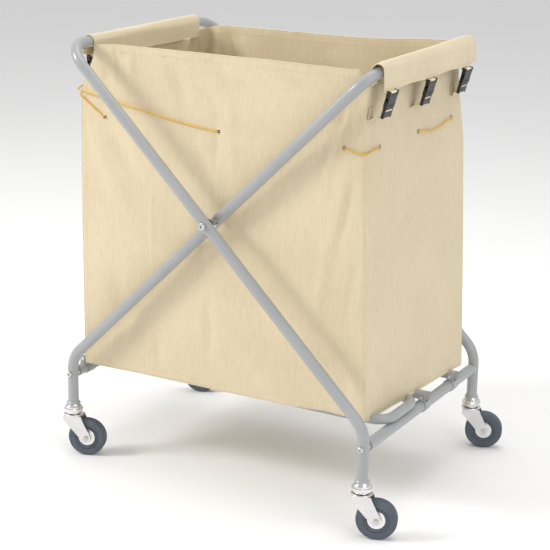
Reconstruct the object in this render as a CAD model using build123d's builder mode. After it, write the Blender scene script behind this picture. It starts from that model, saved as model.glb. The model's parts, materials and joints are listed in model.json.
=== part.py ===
"""Folding linen trolley: an X frame of two bent steel tubes on four swivel castors, with a canvas bag.

Millimetres. The origin is on the floor, straight under the two pivot bolts where the frames cross.
+X points to the side where the outer frame has its legs, -Y is the front and +Z is up.
"""

import math
import os

from build123d import *

os.makedirs("parts", exist_ok=True)

# ---- driving dimensions -------------------------------------------------------------------------
TUBE_R = 12.5
TUBE_WALL = 1.5
LEG_X = 395.0
OUTER_Y = 300.0
INNER_Y = 255.0
CROSS_Z = 630.0
DIAGONAL_SLOPE = 0.98
TOP_BAR_X = 362.0
LEG_FOOT_Z = 128.0
LOWER_BEND_R = 70.0
TOP_BEND_R = 60.0
CROSSBAR_Z = 203.0

HOOP_R = 11.0
HOOP_WALL = 1.2
HOOP_CORNER_R = 40.0
HOOP_WIDTH = 160.0
LEFT_HOOP_Y = -195.0
RIGHT_HOOP_Y = 0.0
REST_GAP = 0.3

WHEEL_R = 45.0
CASTOR_TRAIL = 34.0
CASTOR_HEADING = 20.0

BAG_BOTTOM_Z = 238.6
BAG_DROOP = 9.0
BAG_TOP_Z = 987.0
BAG_Y = 222.0
BAG_SIDE_TOP_Z = 955.0
BAG_LEVELS = (BAG_BOTTOM_Z, 560.0, 780.0, 885.0, BAG_SIDE_TOP_Z)
BAG_REACH = {
    (-1, -1): (384.0, 386.0, 384.0, 381.0, 347.0),
    (-1, 1): (374.0, 374.0, 370.0, 366.0, 347.0),
    (1, -1): (359.0, 344.0, 333.0, 330.0, 345.0),
    (1, 1): (396.0, 381.0, 369.0, 352.0, 347.0),
}
CLOTH = 3.0
SEAM_GAP = 1.0

FLAP_GAP = 1.0
FLAP_CLOTH = 2.5
FLAP_EDGE_Z = 946.0
FLAP_LEAN = 2.0
FLAP_HALF_RIGHT = 203.0
FLAP_HALF_LEFT = 216.0
FLAP_END_RIGHT = 234.0

BUCKLE_Y = {-1: (-170.0, 0.0, 170.0), 1: (-207.0, -14.0, 184.0)}
BUCKLE_TOP_Z = {-1: 951.0, 1: 946.5}
BUCKLE_TILT = {-1: 0.0, 1: 15.0}
BUCKLE_WIDTH = 40.0
WEBBING_WIDTH = 30.0

EYELET_Z = 822.0
EYELET_FRONT_X = (-310.0, -10.0, 295.0)
EYELET_SIDE_Y = (-175.0, 0.0, 170.0)
EYELET_R = 6.5
EYELET_HOLE_R = 4.2
EYELET_FLANGE = 0.8
CORD_R = 2.0

# ---- derived sizes ------------------------------------------------------------------------------
LEG_TOP_Z = CROSS_Z - DIAGONAL_SLOPE * LEG_X
TOP_BAR_Z = CROSS_Z + DIAGONAL_SLOPE * TOP_BAR_X
HOOP_Z = CROSSBAR_Z + TUBE_R + REST_GAP + HOOP_R
SIDES = (-1, 1)
CASTOR_PLACES = {
    "front_left": (-LEG_X, -INNER_Y),
    "rear_left": (-LEG_X, INNER_Y),
    "front_right": (LEG_X, -OUTER_Y),
    "rear_right": (LEG_X, OUTER_Y),
}


def save(piece, node):
    """Labels a finished piece and writes it to its own STEP file."""
    piece.part.label = node
    export_step(piece.part, f"parts/{node}.step")


def across(x, y, z):
    """A plane whose normal runs along +Y, for bolts and bars that lie from front to back."""
    return Plane(origin=(x, y, z), x_dir=(1, 0, 0), z_dir=(0, 1, 0))


def corner_x(side, front, z):
    """How far the bag's corner on that side, front (-1) or back (1), stands from the middle at height z."""
    reach = BAG_REACH[side, front]
    for low, high, near, far in zip(BAG_LEVELS, BAG_LEVELS[1:], reach, reach[1:]):
        if z <= high:
            break
    return near + (far - near) * (z - low) / (high - low)


def bag_side_x(side, y, z):
    """How far a side panel's outer face stands from the middle at y and z."""
    inner_half = BAG_Y - CLOTH
    share = (y + inner_half) / (2 * inner_half)
    return corner_x(side, -1, z) * (1 - share) + corner_x(side, 1, z) * share


# ---- folding frames -----------------------------------------------------------------------------
PIVOT_BOLT_R = 5.0
PIVOT_HOLE_R = 5.08
CROSSBAR_BOLT_R = 4.0
CROSSBAR_HOLE_R = 4.08
LEG_FLARE_R = 16.5
LEG_FLARE_HEIGHT = 11.0


def bent_tube(node, points, radii, outer_r, wall, cuts, flare_at=()):
    """One tube bent along its points, with cross holes and, on legs, a flared foot."""
    with BuildPart() as tube:
        with BuildLine() as path:
            FilletPolyline(*points, radius=radii)
        with BuildSketch(Plane(origin=path.line @ 0, z_dir=path.line % 0)):
            Circle(outer_r)
            Circle(outer_r - wall, mode=Mode.SUBTRACT)
        sweep(path=path.line)
        for x, y in flare_at:
            with BuildSketch(Plane(origin=(x, y, 0), x_dir=(1, 0, 0), z_dir=(0, -1, 0))):
                with BuildLine():
                    Polyline(
                        (outer_r - wall, LEG_FOOT_Z + LEG_FLARE_HEIGHT - 2),
                        (outer_r, LEG_FOOT_Z + LEG_FLARE_HEIGHT),
                        (outer_r + 1, LEG_FOOT_Z + LEG_FLARE_HEIGHT / 2),
                        (LEG_FLARE_R, LEG_FOOT_Z + 1.5),
                        (LEG_FLARE_R, LEG_FOOT_Z),
                        (outer_r - wall, LEG_FOOT_Z),
                        close=True,
                    )
                make_face()
            revolve(axis=Axis((x, y, 0), (0, 0, 1)))
        for plane, radius in cuts:
            with Locations(plane.location):
                Cylinder(radius, 3 * outer_r, mode=Mode.SUBTRACT)
    save(tube, node)


def frame_tube(node, side, half_depth):
    """A folding frame: leg, diagonal, top bar, diagonal and leg in one length of tube."""
    leg, bar = side * LEG_X, -side * TOP_BAR_X
    points = [
        (leg, -half_depth, LEG_FOOT_Z),
        (leg, -half_depth, LEG_TOP_Z),
        (bar, -half_depth, TOP_BAR_Z),
        (bar, half_depth, TOP_BAR_Z),
        (leg, half_depth, LEG_TOP_Z),
        (leg, half_depth, LEG_FOOT_Z),
    ]
    radii = [LOWER_BEND_R, TOP_BEND_R, TOP_BEND_R, LOWER_BEND_R]
    cuts = [(across(0, s * half_depth, CROSS_Z), PIVOT_HOLE_R) for s in SIDES]
    cuts += [(across(leg, s * half_depth, CROSSBAR_Z), CROSSBAR_HOLE_R) for s in SIDES]
    feet = [(leg, s * half_depth) for s in SIDES]
    bent_tube(node, points, radii, TUBE_R, TUBE_WALL, cuts, feet)


frame_tube("frame_outer_tube", 1, OUTER_Y)
frame_tube("frame_inner_tube", -1, INNER_Y)

# ---- crossbars with their bolts and saddle washers ----------------------------------------------
SADDLE_R = 10.4
SADDLE_LENGTH = 5.0
END_WALL = 12.0
BOLT_HEAD_R = 7.0
BOLT_HEAD_HEIGHT = 4.5
HEX_SOCKET_R = 2.9
HEX_SOCKET_DEPTH = 2.6


def crossbar(side_name, leg_x, half_depth):
    """The bar between a front and a back leg, its two bolts and its two saddle washers."""
    bar_half = half_depth - TUBE_R - SADDLE_LENGTH
    with BuildPart(across(leg_x, 0, CROSSBAR_Z)) as bar:
        Cylinder(TUBE_R, 2 * bar_half)
        Cylinder(TUBE_R - TUBE_WALL, 2 * (bar_half - END_WALL), mode=Mode.SUBTRACT)
        with Locations((0, 0, bar_half), (0, 0, -bar_half)):
            Cylinder(CROSSBAR_BOLT_R, 2 * END_WALL + 4, mode=Mode.SUBTRACT)
    save(bar, f"crossbar_{side_name}")

    with BuildPart() as saddles:
        for s in SIDES:
            with Locations(across(leg_x, s * (half_depth - TUBE_R), CROSSBAR_Z).location):
                Cylinder(SADDLE_R, 2 * SADDLE_LENGTH - 0.2)
            with Locations((leg_x, s * half_depth, CROSSBAR_Z)):
                Cylinder(TUBE_R, 4 * TUBE_R, mode=Mode.SUBTRACT)
            with Locations(across(leg_x, s * half_depth, CROSSBAR_Z).location):
                Cylinder(CROSSBAR_HOLE_R, 4 * TUBE_R, mode=Mode.SUBTRACT)
    save(saddles, f"leg_saddles_{side_name}")

    shank = TUBE_R + REST_GAP + TUBE_R + SADDLE_LENGTH + END_WALL
    with BuildPart() as bolts:
        for s in SIDES:
            seat_y = s * (half_depth + TUBE_R + REST_GAP)
            with BuildSketch(Plane(origin=(leg_x, seat_y, CROSSBAR_Z), z_dir=(0, s, 0))):
                Circle(BOLT_HEAD_R)
            extrude(amount=BOLT_HEAD_HEIGHT)
            fillet(bolts.faces().sort_by(Axis.Y)[-1 if s > 0 else 0].edges(), BOLT_HEAD_HEIGHT * 0.6)
            socket_y = seat_y + s * BOLT_HEAD_HEIGHT
            with BuildSketch(Plane(origin=(leg_x, socket_y, CROSSBAR_Z), z_dir=(0, -s, 0))):
                RegularPolygon(HEX_SOCKET_R, 6)
            extrude(amount=HEX_SOCKET_DEPTH, mode=Mode.SUBTRACT)
            with BuildSketch(Plane(origin=(leg_x, seat_y, CROSSBAR_Z), z_dir=(0, -s, 0))):
                Circle(CROSSBAR_BOLT_R)
            extrude(amount=shank)
    save(bolts, f"crossbar_bolts_{side_name}")


crossbar("right", LEG_X, OUTER_Y)
crossbar("left", -LEG_X, INNER_Y)

# ---- pivot where the frames cross ---------------------------------------------------------------
PIVOT_HEAD_R = 8.5
PIVOT_HEAD_HEIGHT = 6.0
SPACER_R = 8.0
WASHER_R = 11.0
WASHER_THICKNESS = 1.6
NUT_R = 8.5
NUT_HEIGHT = 7.0

spacer_outer = OUTER_Y - TUBE_R - REST_GAP
spacer_inner = INNER_Y + TUBE_R + REST_GAP
head_seat = OUTER_Y + TUBE_R + REST_GAP
nut_seat = INNER_Y - TUBE_R - REST_GAP

with BuildPart() as pivot_bolts:
    for s in SIDES:
        with BuildSketch(Plane(origin=(0, s * head_seat, CROSS_Z), z_dir=(0, s, 0))):
            Circle(PIVOT_HEAD_R)
        extrude(amount=PIVOT_HEAD_HEIGHT)
        end_face = pivot_bolts.faces().sort_by(Axis.Y)[-1 if s > 0 else 0]
        fillet(end_face.edges(), PIVOT_HEAD_HEIGHT * 0.3)
        with BuildSketch(Plane(origin=(0, s * (head_seat + PIVOT_HEAD_HEIGHT), CROSS_Z), z_dir=(0, -s, 0))):
            RegularPolygon(PIVOT_HEAD_R * 0.5, 6)
        extrude(amount=PIVOT_HEAD_HEIGHT * 0.55, mode=Mode.SUBTRACT)
        with BuildSketch(Plane(origin=(0, s * head_seat, CROSS_Z), z_dir=(0, -s, 0))):
            Circle(PIVOT_BOLT_R)
        extrude(amount=head_seat - nut_seat + NUT_HEIGHT * 0.7)
save(pivot_bolts, "pivot_bolts")

with BuildPart() as pivot_spacers:
    for s in SIDES:
        with BuildSketch(Plane(origin=(0, s * spacer_inner, CROSS_Z), z_dir=(0, s, 0))):
            Circle(WASHER_R)
            Circle(PIVOT_BOLT_R, mode=Mode.SUBTRACT)
        extrude(amount=WASHER_THICKNESS)
        with BuildSketch(Plane(origin=(0, s * (spacer_inner + WASHER_THICKNESS), CROSS_Z), z_dir=(0, s, 0))):
            Circle(SPACER_R)
            Circle(PIVOT_BOLT_R, mode=Mode.SUBTRACT)
        extrude(amount=spacer_outer - spacer_inner - 2 * WASHER_THICKNESS)
        with BuildSketch(Plane(origin=(0, s * spacer_outer, CROSS_Z), z_dir=(0, -s, 0))):
            Circle(WASHER_R)
            Circle(PIVOT_BOLT_R, mode=Mode.SUBTRACT)
        extrude(amount=WASHER_THICKNESS)
save(pivot_spacers, "pivot_spacers")

with BuildPart() as pivot_nuts:
    for s in SIDES:
        with BuildSketch(Plane(origin=(0, s * nut_seat, CROSS_Z), z_dir=(0, -s, 0))):
            RegularPolygon(NUT_R, 6)
        extrude(amount=NUT_HEIGHT)
        with BuildSketch(Plane(origin=(0, s * nut_seat, CROSS_Z), z_dir=(0, -s, 0))):
            Circle(PIVOT_BOLT_R)
        extrude(amount=NUT_HEIGHT * 0.7, mode=Mode.SUBTRACT)
save(pivot_nuts, "pivot_nuts")

# ---- bottom hoops, hinged on one crossbar and resting on the other ------------------------------
CLIP_BORE_R = TUBE_R + 0.06
CLIP_OUTER_R = CLIP_BORE_R + 2.0
CLIP_WIDTH = 2 * HOOP_R + 4.6
CLIP_EAR = 2.0
CLIP_BOLT_R = 2.5
CLIP_BOLT_X = 4.0
CLIP_BOLT_Z = HOOP_Z - 2.0
CLIP_HEAD_R = 4.2
CLIP_HEAD_HEIGHT = 2.4
HOOP_OVERHANG = 13.0
CAP_FLANGE = 2.0
CAP_PLUG = 12.0


def hoop(side_name, side, near_y):
    """A U-shaped support tube with two hinge clips, their bolts and two plastic end caps."""
    far_y = near_y + HOOP_WIDTH
    hinge_x = side * LEG_X
    end_x = side * (LEG_X + HOOP_OVERHANG)
    points = [(end_x, near_y, HOOP_Z), (-hinge_x, near_y, HOOP_Z), (-hinge_x, far_y, HOOP_Z), (end_x, far_y, HOOP_Z)]
    bolt_x = hinge_x + side * CLIP_BOLT_X
    rows = (near_y, far_y)
    cuts = [(across(hinge_x, y, CROSSBAR_Z), CLIP_OUTER_R) for y in rows]
    cuts += [(across(bolt_x, y, CLIP_BOLT_Z), CLIP_BOLT_R) for y in rows]
    bent_tube(f"hoop_{side_name}_tube", points, [HOOP_CORNER_R] * 2, HOOP_R, HOOP_WALL, cuts)

    with BuildPart() as clips:
        for y in rows:
            with Locations(across(hinge_x, y, CROSSBAR_Z).location):
                Cylinder(CLIP_OUTER_R, CLIP_WIDTH)
            ear_middle = (CROSSBAR_Z + HOOP_Z) / 2 + 3
            with Locations((bolt_x, y, ear_middle)):
                Box(2 * HOOP_R - 4, CLIP_WIDTH, HOOP_Z - CROSSBAR_Z + 6)
            with Locations((hinge_x, y, HOOP_Z)):
                Box(6 * HOOP_R, CLIP_WIDTH - 2 * CLIP_EAR, 2 * (HOOP_Z - CROSSBAR_Z - TUBE_R) + 2, mode=Mode.SUBTRACT)
            with Locations(across(hinge_x, y, CROSSBAR_Z).location):
                Cylinder(CLIP_OUTER_R, CLIP_WIDTH - 2 * CLIP_EAR)
                Cylinder(CLIP_BORE_R, 2 * CLIP_WIDTH, mode=Mode.SUBTRACT)
            with Locations(across(bolt_x, y, CLIP_BOLT_Z).location):
                Cylinder(CLIP_BOLT_R, 2 * CLIP_WIDTH, mode=Mode.SUBTRACT)
    save(clips, f"hoop_{side_name}_clips")

    with BuildPart() as bolts:
        for y in rows:
            for s in SIDES:
                with BuildSketch(Plane(origin=(bolt_x, y + s * CLIP_WIDTH / 2, CLIP_BOLT_Z), z_dir=(0, s, 0))):
                    Circle(CLIP_HEAD_R)
                extrude(amount=CLIP_HEAD_HEIGHT)
            with Locations(across(bolt_x, y, CLIP_BOLT_Z).location):
                Cylinder(CLIP_BOLT_R, CLIP_WIDTH)
    save(bolts, f"hoop_{side_name}_bolts")

    with BuildPart() as caps:
        for y in rows:
            with BuildSketch(Plane(origin=(end_x, y, HOOP_Z), z_dir=(side, 0, 0))):
                Circle(HOOP_R)
            extrude(amount=CAP_FLANGE)
        fillet(caps.faces().group_by(Axis.X)[-1 if side > 0 else 0].edges(), CAP_FLANGE * 0.6)
        for y in rows:
            with BuildSketch(Plane(origin=(end_x, y, HOOP_Z), z_dir=(-side, 0, 0))):
                Circle(HOOP_R - HOOP_WALL)
            extrude(amount=CAP_PLUG)
            with Locations(across(hinge_x, y, CROSSBAR_Z).location):
                Cylinder(CLIP_OUTER_R, CLIP_WIDTH, mode=Mode.SUBTRACT)
            with Locations(across(bolt_x, y, CLIP_BOLT_Z).location):
                Cylinder(CLIP_BOLT_R, CLIP_WIDTH, mode=Mode.SUBTRACT)
    save(caps, f"hoop_{side_name}_caps")


hoop("left", -1, LEFT_HOOP_Y)
hoop("right", 1, RIGHT_HOOP_Y)

# ---- castors ------------------------------------------------------------------------------------
CUP_BAND_R = 22.5
CUP_BOTTOM_Z = LEG_FOOT_Z - 24.0
KINGPIN_R = 5.0
KINGPIN_BORE_R = 5.06
KINGPIN_NUT_R = 9.0
CROWN_TOP_Z = CUP_BOTTOM_Z - 1.2
CROWN_THICKNESS = 4.0
CROWN_R = 23.0
FORK_INNER = 16.0
FORK_PLATE = 2.5
FORK_END_R = 11.5
AXLE_R = 4.0
AXLE_BORE_R = 4.06
AXLE_HEAD_R = 6.5
AXLE_HEAD_HEIGHT = 3.5
TYRE_WIDTH = 25.0
TYRE_CORNER_R = 5.0
TYRE_GROOVE_R = 27.5
HUB_R = 20.5
HUB_WIDTH = 29.0
STEM_LENGTH = 42.0


def castor(place, x, y):
    """One castor: cup with stem and kingpin, fork, wheel hub, tyre and axle bolt."""
    heading = math.radians(CASTOR_HEADING)
    ahead = Vector(math.cos(heading), math.sin(heading), 0)
    aside = Vector(-math.sin(heading), math.cos(heading), 0)
    post = Vector(x, y, 0)
    hub_centre = post + ahead * CASTOR_TRAIL + Vector(0, 0, WHEEL_R)
    axle_plane = Plane(origin=hub_centre, x_dir=ahead, z_dir=aside * -1)
    section = Plane(origin=post, x_dir=ahead, z_dir=aside * -1)
    upright = Axis(post, (0, 0, 1))
    crown_bottom = CROWN_TOP_Z - CROWN_THICKNESS

    with BuildPart() as cup:
        with BuildSketch(section):
            with BuildLine():
                Polyline(
                    (0, LEG_FOOT_Z + STEM_LENGTH),
                    (9, LEG_FOOT_Z + STEM_LENGTH),
                    (10.9, LEG_FOOT_Z + STEM_LENGTH - 3),
                    (10.9, LEG_FOOT_Z - 0.1),
                    (15, LEG_FOOT_Z - 0.1),
                    (16.5, LEG_FOOT_Z - 3),
                    (19, LEG_FOOT_Z - 6.5),
                    (20, LEG_FOOT_Z - 7.5),
                    (20, LEG_FOOT_Z - 10),
                    (CUP_BAND_R, LEG_FOOT_Z - 12),
                    (CUP_BAND_R, LEG_FOOT_Z - 17),
                    (21, LEG_FOOT_Z - 18.5),
                    (21, LEG_FOOT_Z - 20.5),
                    (17, LEG_FOOT_Z - 22),
                    (17, CUP_BOTTOM_Z),
                    (KINGPIN_R, CUP_BOTTOM_Z),
                    (KINGPIN_R, crown_bottom - 1),
                    (KINGPIN_NUT_R, crown_bottom - 1),
                    (KINGPIN_NUT_R, crown_bottom - 6),
                    (0, crown_bottom - 8),
                    close=True,
                )
            make_face()
        revolve(axis=upright)
    save(cup, f"castor_{place}_cup")

    with BuildPart() as fork:
        with BuildSketch(axle_plane.offset(-(FORK_INNER + FORK_PLATE))):
            Circle(FORK_END_R)
            with Locations((-CASTOR_TRAIL, crown_bottom - WHEEL_R - 5)):
                Rectangle(2 * CROWN_R - 4, 10)
            make_hull()
        extrude(amount=2 * (FORK_INNER + FORK_PLATE))
        with BuildSketch(Plane(origin=post + Vector(0, 0, crown_bottom - 1))):
            Circle(CROWN_R)
        extrude(amount=CROWN_THICKNESS + 1)
        fillet(fork.faces().sort_by(Axis.Z)[-1].edges(), 1.5)
        with BuildSketch(axle_plane.offset(-FORK_INNER)):
            with Locations((-CASTOR_TRAIL, crown_bottom - WHEEL_R - 75)):
                Rectangle(8 * CROWN_R, 150)
        extrude(amount=2 * FORK_INNER, mode=Mode.SUBTRACT)
        with Locations((x, y, CROWN_TOP_Z)):
            Cylinder(KINGPIN_BORE_R, 3 * CROWN_THICKNESS, mode=Mode.SUBTRACT)
        with Locations(axle_plane.location):
            Cylinder(AXLE_R, 4 * FORK_INNER, mode=Mode.SUBTRACT)
    save(fork, f"castor_{place}_fork")

    with BuildPart(axle_plane) as hub:
        Cylinder(HUB_R, TYRE_WIDTH - 3)
        Cylinder(HUB_R - 7, HUB_WIDTH)
        chamfer(hub.edges().filter_by(GeomType.CIRCLE).group_by(SortBy.RADIUS)[-1], 1.0)
        Cylinder(AXLE_BORE_R, 2 * HUB_WIDTH, mode=Mode.SUBTRACT)
    save(hub, f"castor_{place}_hub")

    tyre_section = Plane(origin=hub_centre, x_dir=ahead, z_dir=(0, 0, 1))
    with BuildPart() as tyre:
        with BuildSketch(tyre_section):
            with Locations(((HUB_R + WHEEL_R) / 2, 0)):
                RectangleRounded(WHEEL_R - HUB_R, TYRE_WIDTH, TYRE_CORNER_R)
            with Locations((TYRE_GROOVE_R, TYRE_WIDTH / 2), (TYRE_GROOVE_R, -TYRE_WIDTH / 2)):
                Rectangle(2.0, 3.0, mode=Mode.SUBTRACT)
            with Locations((HUB_R + TYRE_CORNER_R / 2, 0)):
                Rectangle(TYRE_CORNER_R, TYRE_WIDTH - 2 * TYRE_CORNER_R)
        revolve(axis=Axis(hub_centre, aside))
    save(tyre, f"castor_{place}_tyre")

    half_span = FORK_INNER + FORK_PLATE
    with BuildPart(axle_plane) as axle:
        Cylinder(AXLE_R, 2 * half_span + 2 * AXLE_R)
        for s in SIDES:
            with BuildSketch(axle_plane.offset(s * half_span)):
                RegularPolygon(AXLE_HEAD_R, 6)
            extrude(amount=s * AXLE_HEAD_HEIGHT)
    save(axle, f"castor_{place}_axle")


for castor_place, (castor_x, castor_y) in CASTOR_PLACES.items():
    castor(castor_place, castor_x, castor_y)

# ---- canvas bag ---------------------------------------------------------------------------------
CORNER_CUT_X = 32.0
CORNER_CUT_Z = 50.0
SIDE_CUT_Z = 28.0


def bag_wall(node, s):
    """A front or back panel, cut away at the top corner where the inner frame's tube bends in."""
    low = BAG_BOTTOM_Z - BAG_DROOP
    cut_z = BAG_TOP_Z - CORNER_CUT_Z
    right = [(corner_x(1, s, z), z) for z in (*BAG_LEVELS[:-1], cut_z)]
    left = [(-corner_x(-1, s, z), z) for z in BAG_LEVELS]
    top_left, top_right = left[-1][0], corner_x(1, s, BAG_SIDE_TOP_Z) - CORNER_CUT_X
    with BuildPart() as panel:
        with BuildSketch(Plane(origin=(0, s * BAG_Y, 0), x_dir=(1, 0, 0), z_dir=(0, -1, 0))):
            with BuildLine():
                Polyline(
                    (left[0][0], low),
                    (right[0][0], low),
                    *right,
                    (top_right, BAG_TOP_Z),
                    (top_left, BAG_TOP_Z),
                    *reversed(left),
                    close=True,
                )
            make_face()
        extrude(amount=s * CLOTH)
        with Locations(*[across(x, s * (BAG_Y - CLOTH / 2), EYELET_Z).location for x in EYELET_FRONT_X]):
            Cylinder(EYELET_HOLE_R, 4 * CLOTH, mode=Mode.SUBTRACT)
    save(panel, node)


def bag_side_plane(side, y, z):
    """A plane in the middle of a side panel's thickness, facing outwards."""
    step = 1.0
    along_y = (bag_side_x(side, y + step, z) - bag_side_x(side, y - step, z)) / (2 * step)
    along_z = (bag_side_x(side, y, z + step) - bag_side_x(side, y, z - step)) / (2 * step)
    middle = side * (bag_side_x(side, y, z) - CLOTH / 2)
    return Plane(origin=(middle, y, z), x_dir=(side * along_y, 1, 0), z_dir=(side, -along_y, -along_z))


def bag_side(node, side, top_half):
    """A side panel between the front and back panels, pulled in at its top under the bar."""
    inner_half = BAG_Y - CLOTH
    with BuildPart() as panel:
        for s in SIDES:
            outer = [(side * x, z) for x, z in zip(BAG_REACH[side, s], BAG_LEVELS)]
            inner = [(x - side * CLOTH, z) for x, z in reversed(outer)]
            with BuildSketch(Plane(origin=(0, s * inner_half, 0), x_dir=(1, 0, 0), z_dir=(0, -1, 0))):
                with BuildLine():
                    Polyline(*outer, *inner, close=True)
                make_face()
        loft(ruled=True)
        for s in SIDES:
            with BuildSketch(Plane(origin=(side * BAG_REACH[side, s][-1], 0, 0), x_dir=(0, 1, 0), z_dir=(1, 0, 0))):
                with BuildLine():
                    Polyline(
                        (s * top_half, BAG_SIDE_TOP_Z),
                        (s * inner_half, BAG_SIDE_TOP_Z - SIDE_CUT_Z),
                        (s * inner_half, BAG_SIDE_TOP_Z),
                        close=True,
                    )
                make_face()
            extrude(amount=8 * CLOTH, both=True, mode=Mode.SUBTRACT)
        with Locations(*[bag_side_plane(side, y, EYELET_Z).location for y in EYELET_SIDE_Y]):
            Cylinder(EYELET_HOLE_R, 4 * CLOTH, mode=Mode.SUBTRACT)
    save(panel, node)


def flap(node, side, half_length, end_length):
    """The side panel's end, turned over the top bar and hanging down outside it, with its ends cut round the bends."""
    inside = TUBE_R + FLAP_GAP
    outside = inside + FLAP_CLOTH
    hem = FLAP_EDGE_Z - TOP_BAR_Z
    root = BAG_SIDE_TOP_Z - TOP_BAR_Z
    bar_end = Plane(
        origin=(side * TOP_BAR_X, side * end_length, TOP_BAR_Z), x_dir=(side, 0, 0), z_dir=(0, -side, 0)
    )
    with BuildPart() as cloth:
        with BuildSketch(bar_end):
            with BuildLine():
                CenterArc((0, 0), outside, 0, 180)
                Polyline((-outside, 0), (-outside, root), (-inside, root), (-inside, 0))
                CenterArc((0, 0), inside, 0, 180)
                Polyline((inside, 0), (inside + FLAP_LEAN, hem), (outside + FLAP_LEAN, hem), (outside, 0))
            make_face()
        extrude(amount=2 * end_length)
        if end_length > half_length:
            reach = 2 * outside
            for s in SIDES:
                with Locations((side * (TOP_BAR_X - reach / 2), s * (half_length + reach), TOP_BAR_Z)):
                    Box(reach, 2 * reach, 4 * reach, mode=Mode.SUBTRACT)
    save(cloth, node)


bag_wall("bag_front_panel", -1)
bag_wall("bag_back_panel", 1)
bag_side("bag_side_left", -1, FLAP_HALF_LEFT)
bag_side("bag_side_right", 1, FLAP_HALF_RIGHT)
flap("flap_left", -1, FLAP_HALF_LEFT, FLAP_HALF_LEFT)
flap("flap_right", 1, FLAP_HALF_RIGHT, FLAP_END_RIGHT)

floor_corners = []
for side, front in ((-1, -1), (1, -1), (1, 1), (-1, 1)):
    floor_x = corner_x(side, front, BAG_BOTTOM_Z) - CLOTH - SEAM_GAP
    floor_corners.append((side * floor_x, front * (BAG_Y - CLOTH)))
with BuildPart() as bag_floor:
    with BuildSketch(Plane(origin=(0, 0, BAG_BOTTOM_Z))):
        with BuildLine():
            Polyline(*floor_corners, close=True)
        make_face()
    extrude(amount=CLOTH)
save(bag_floor, "bag_floor")

# ---- eyelets and drawcord -----------------------------------------------------------------------
EYELET_BORE_R = 3.4
CORD_OFFSET = CLOTH / 2 + EYELET_FLANGE + CORD_R + 0.6
CORD_BEND_R = 4.4
SAG_BEND_R = 400.0
SAG_SPREAD = 1.1
SPAN_SAG = 4.0
KNOT_R = 6.5
KNOT_PLACE = (-388.0, -198.0, 884.0)
CORD_START = (-387.9, -202.7, 879.2)
CORD_END = (-388.3, -204.9, 884.0)
TAIL_LENGTH = 40.0
TAIL_SHIFTS = (1.0, 5.4)

eyelet_planes = [across(x, s * (BAG_Y - CLOTH / 2), EYELET_Z) for s in SIDES for x in EYELET_FRONT_X]
eyelet_planes += [bag_side_plane(s, y, EYELET_Z) for s in SIDES for y in EYELET_SIDE_Y]
with BuildPart(*eyelet_planes) as eyelets:
    Cylinder(EYELET_R, CLOTH + 2 * EYELET_FLANGE)
    Cylinder(EYELET_R + 1, CLOTH, mode=Mode.SUBTRACT)
    Cylinder(EYELET_HOLE_R, CLOTH + 2 * EYELET_FLANGE)
    Cylinder(EYELET_BORE_R, 4 * CLOTH, mode=Mode.SUBTRACT)
save(eyelets, "eyelets")

FRONT_MIDDLE_Y = BAG_Y - CLOTH / 2


def through_front(s, x, outwards):
    """Two route points through an eyelet in the front (s = -1) or back (s = 1) panel."""
    inner = (x, s * (FRONT_MIDDLE_Y - CORD_OFFSET), EYELET_Z)
    outer = (x, s * (FRONT_MIDDLE_Y + CORD_OFFSET), EYELET_Z)
    return [inner, outer] if outwards else [outer, inner]


def through_side(s, y, outwards):
    """Two route points through an eyelet in the left (s = -1) or right (s = 1) side panel."""
    eyelet = bag_side_plane(s, y, EYELET_Z)
    inner = tuple(eyelet.from_local_coords((0, 0, -CORD_OFFSET)))
    outer = tuple(eyelet.from_local_coords((0, 0, CORD_OFFSET)))
    return [inner, outer] if outwards else [outer, inner]


def along_front(s, x, offset):
    """A route point half way between two eyelets of the front or back panel, sagging a little."""
    return [(x, s * (FRONT_MIDDLE_Y + offset * SAG_SPREAD), EYELET_Z - SPAN_SAG)]


def along_side(s, y, offset):
    """A route point half way between two eyelets of a side panel, sagging a little."""
    middle = bag_side_x(s, y, EYELET_Z - SPAN_SAG) - CLOTH / 2
    return [(s * (middle + offset * SAG_SPREAD), y, EYELET_Z - SPAN_SAG)]


def round_corner(side_s, front_s, offset, height, sideways=False):
    """Two route points round an upright corner of the bag, at an offset from the cloth's middle."""
    x = side_s * (corner_x(side_s, front_s, height) - CLOTH / 2 + offset)
    y = front_s * (FRONT_MIDDLE_Y + offset)
    first = (x - side_s * CORNER_TURN, y, height)
    second = (x, y - front_s * CORNER_TURN, height - 0.6)
    return [second, first] if sideways else [first, second]


CORNER_TURN = 3.0
OUT, IN = CORD_OFFSET, -CORD_OFFSET
left_x, middle_x, right_x = EYELET_FRONT_X
front_y, middle_y, back_y = EYELET_SIDE_Y
front_gap, back_gap = (front_y + middle_y) / 2, (middle_y + back_y) / 2
left_gap, right_gap = (left_x + middle_x) / 2, (middle_x + right_x) / 2

route = [CORD_START]
route += round_corner(-1, -1, OUT, EYELET_Z + 44, sideways=True)
route += through_front(-1, left_x, outwards=False)
route += round_corner(-1, -1, IN, EYELET_Z - 3)
route += through_side(-1, front_y, outwards=True)
route += along_side(-1, front_gap, OUT)
route += through_side(-1, middle_y, outwards=False)
route += along_side(-1, back_gap, IN)
route += through_side(-1, back_y, outwards=True)
route += round_corner(-1, 1, OUT, EYELET_Z - 7, sideways=True)
route += through_front(1, left_x, outwards=False)
route += along_front(1, left_gap, IN)
route += through_front(1, middle_x, outwards=True)
route += along_front(1, right_gap, OUT)
route += through_front(1, right_x, outwards=False)
route += round_corner(1, 1, IN, EYELET_Z - 3)
route += through_side(1, back_y, outwards=True)
route += along_side(1, back_gap, OUT)
route += through_side(1, middle_y, outwards=False)
route += along_side(1, front_gap, IN)
route += through_side(1, front_y, outwards=True)
route += round_corner(1, -1, OUT, EYELET_Z - 8, sideways=True)
route += through_front(-1, right_x, outwards=False)
route += along_front(-1, right_gap, IN)
route += through_front(-1, middle_x, outwards=True)
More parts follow.
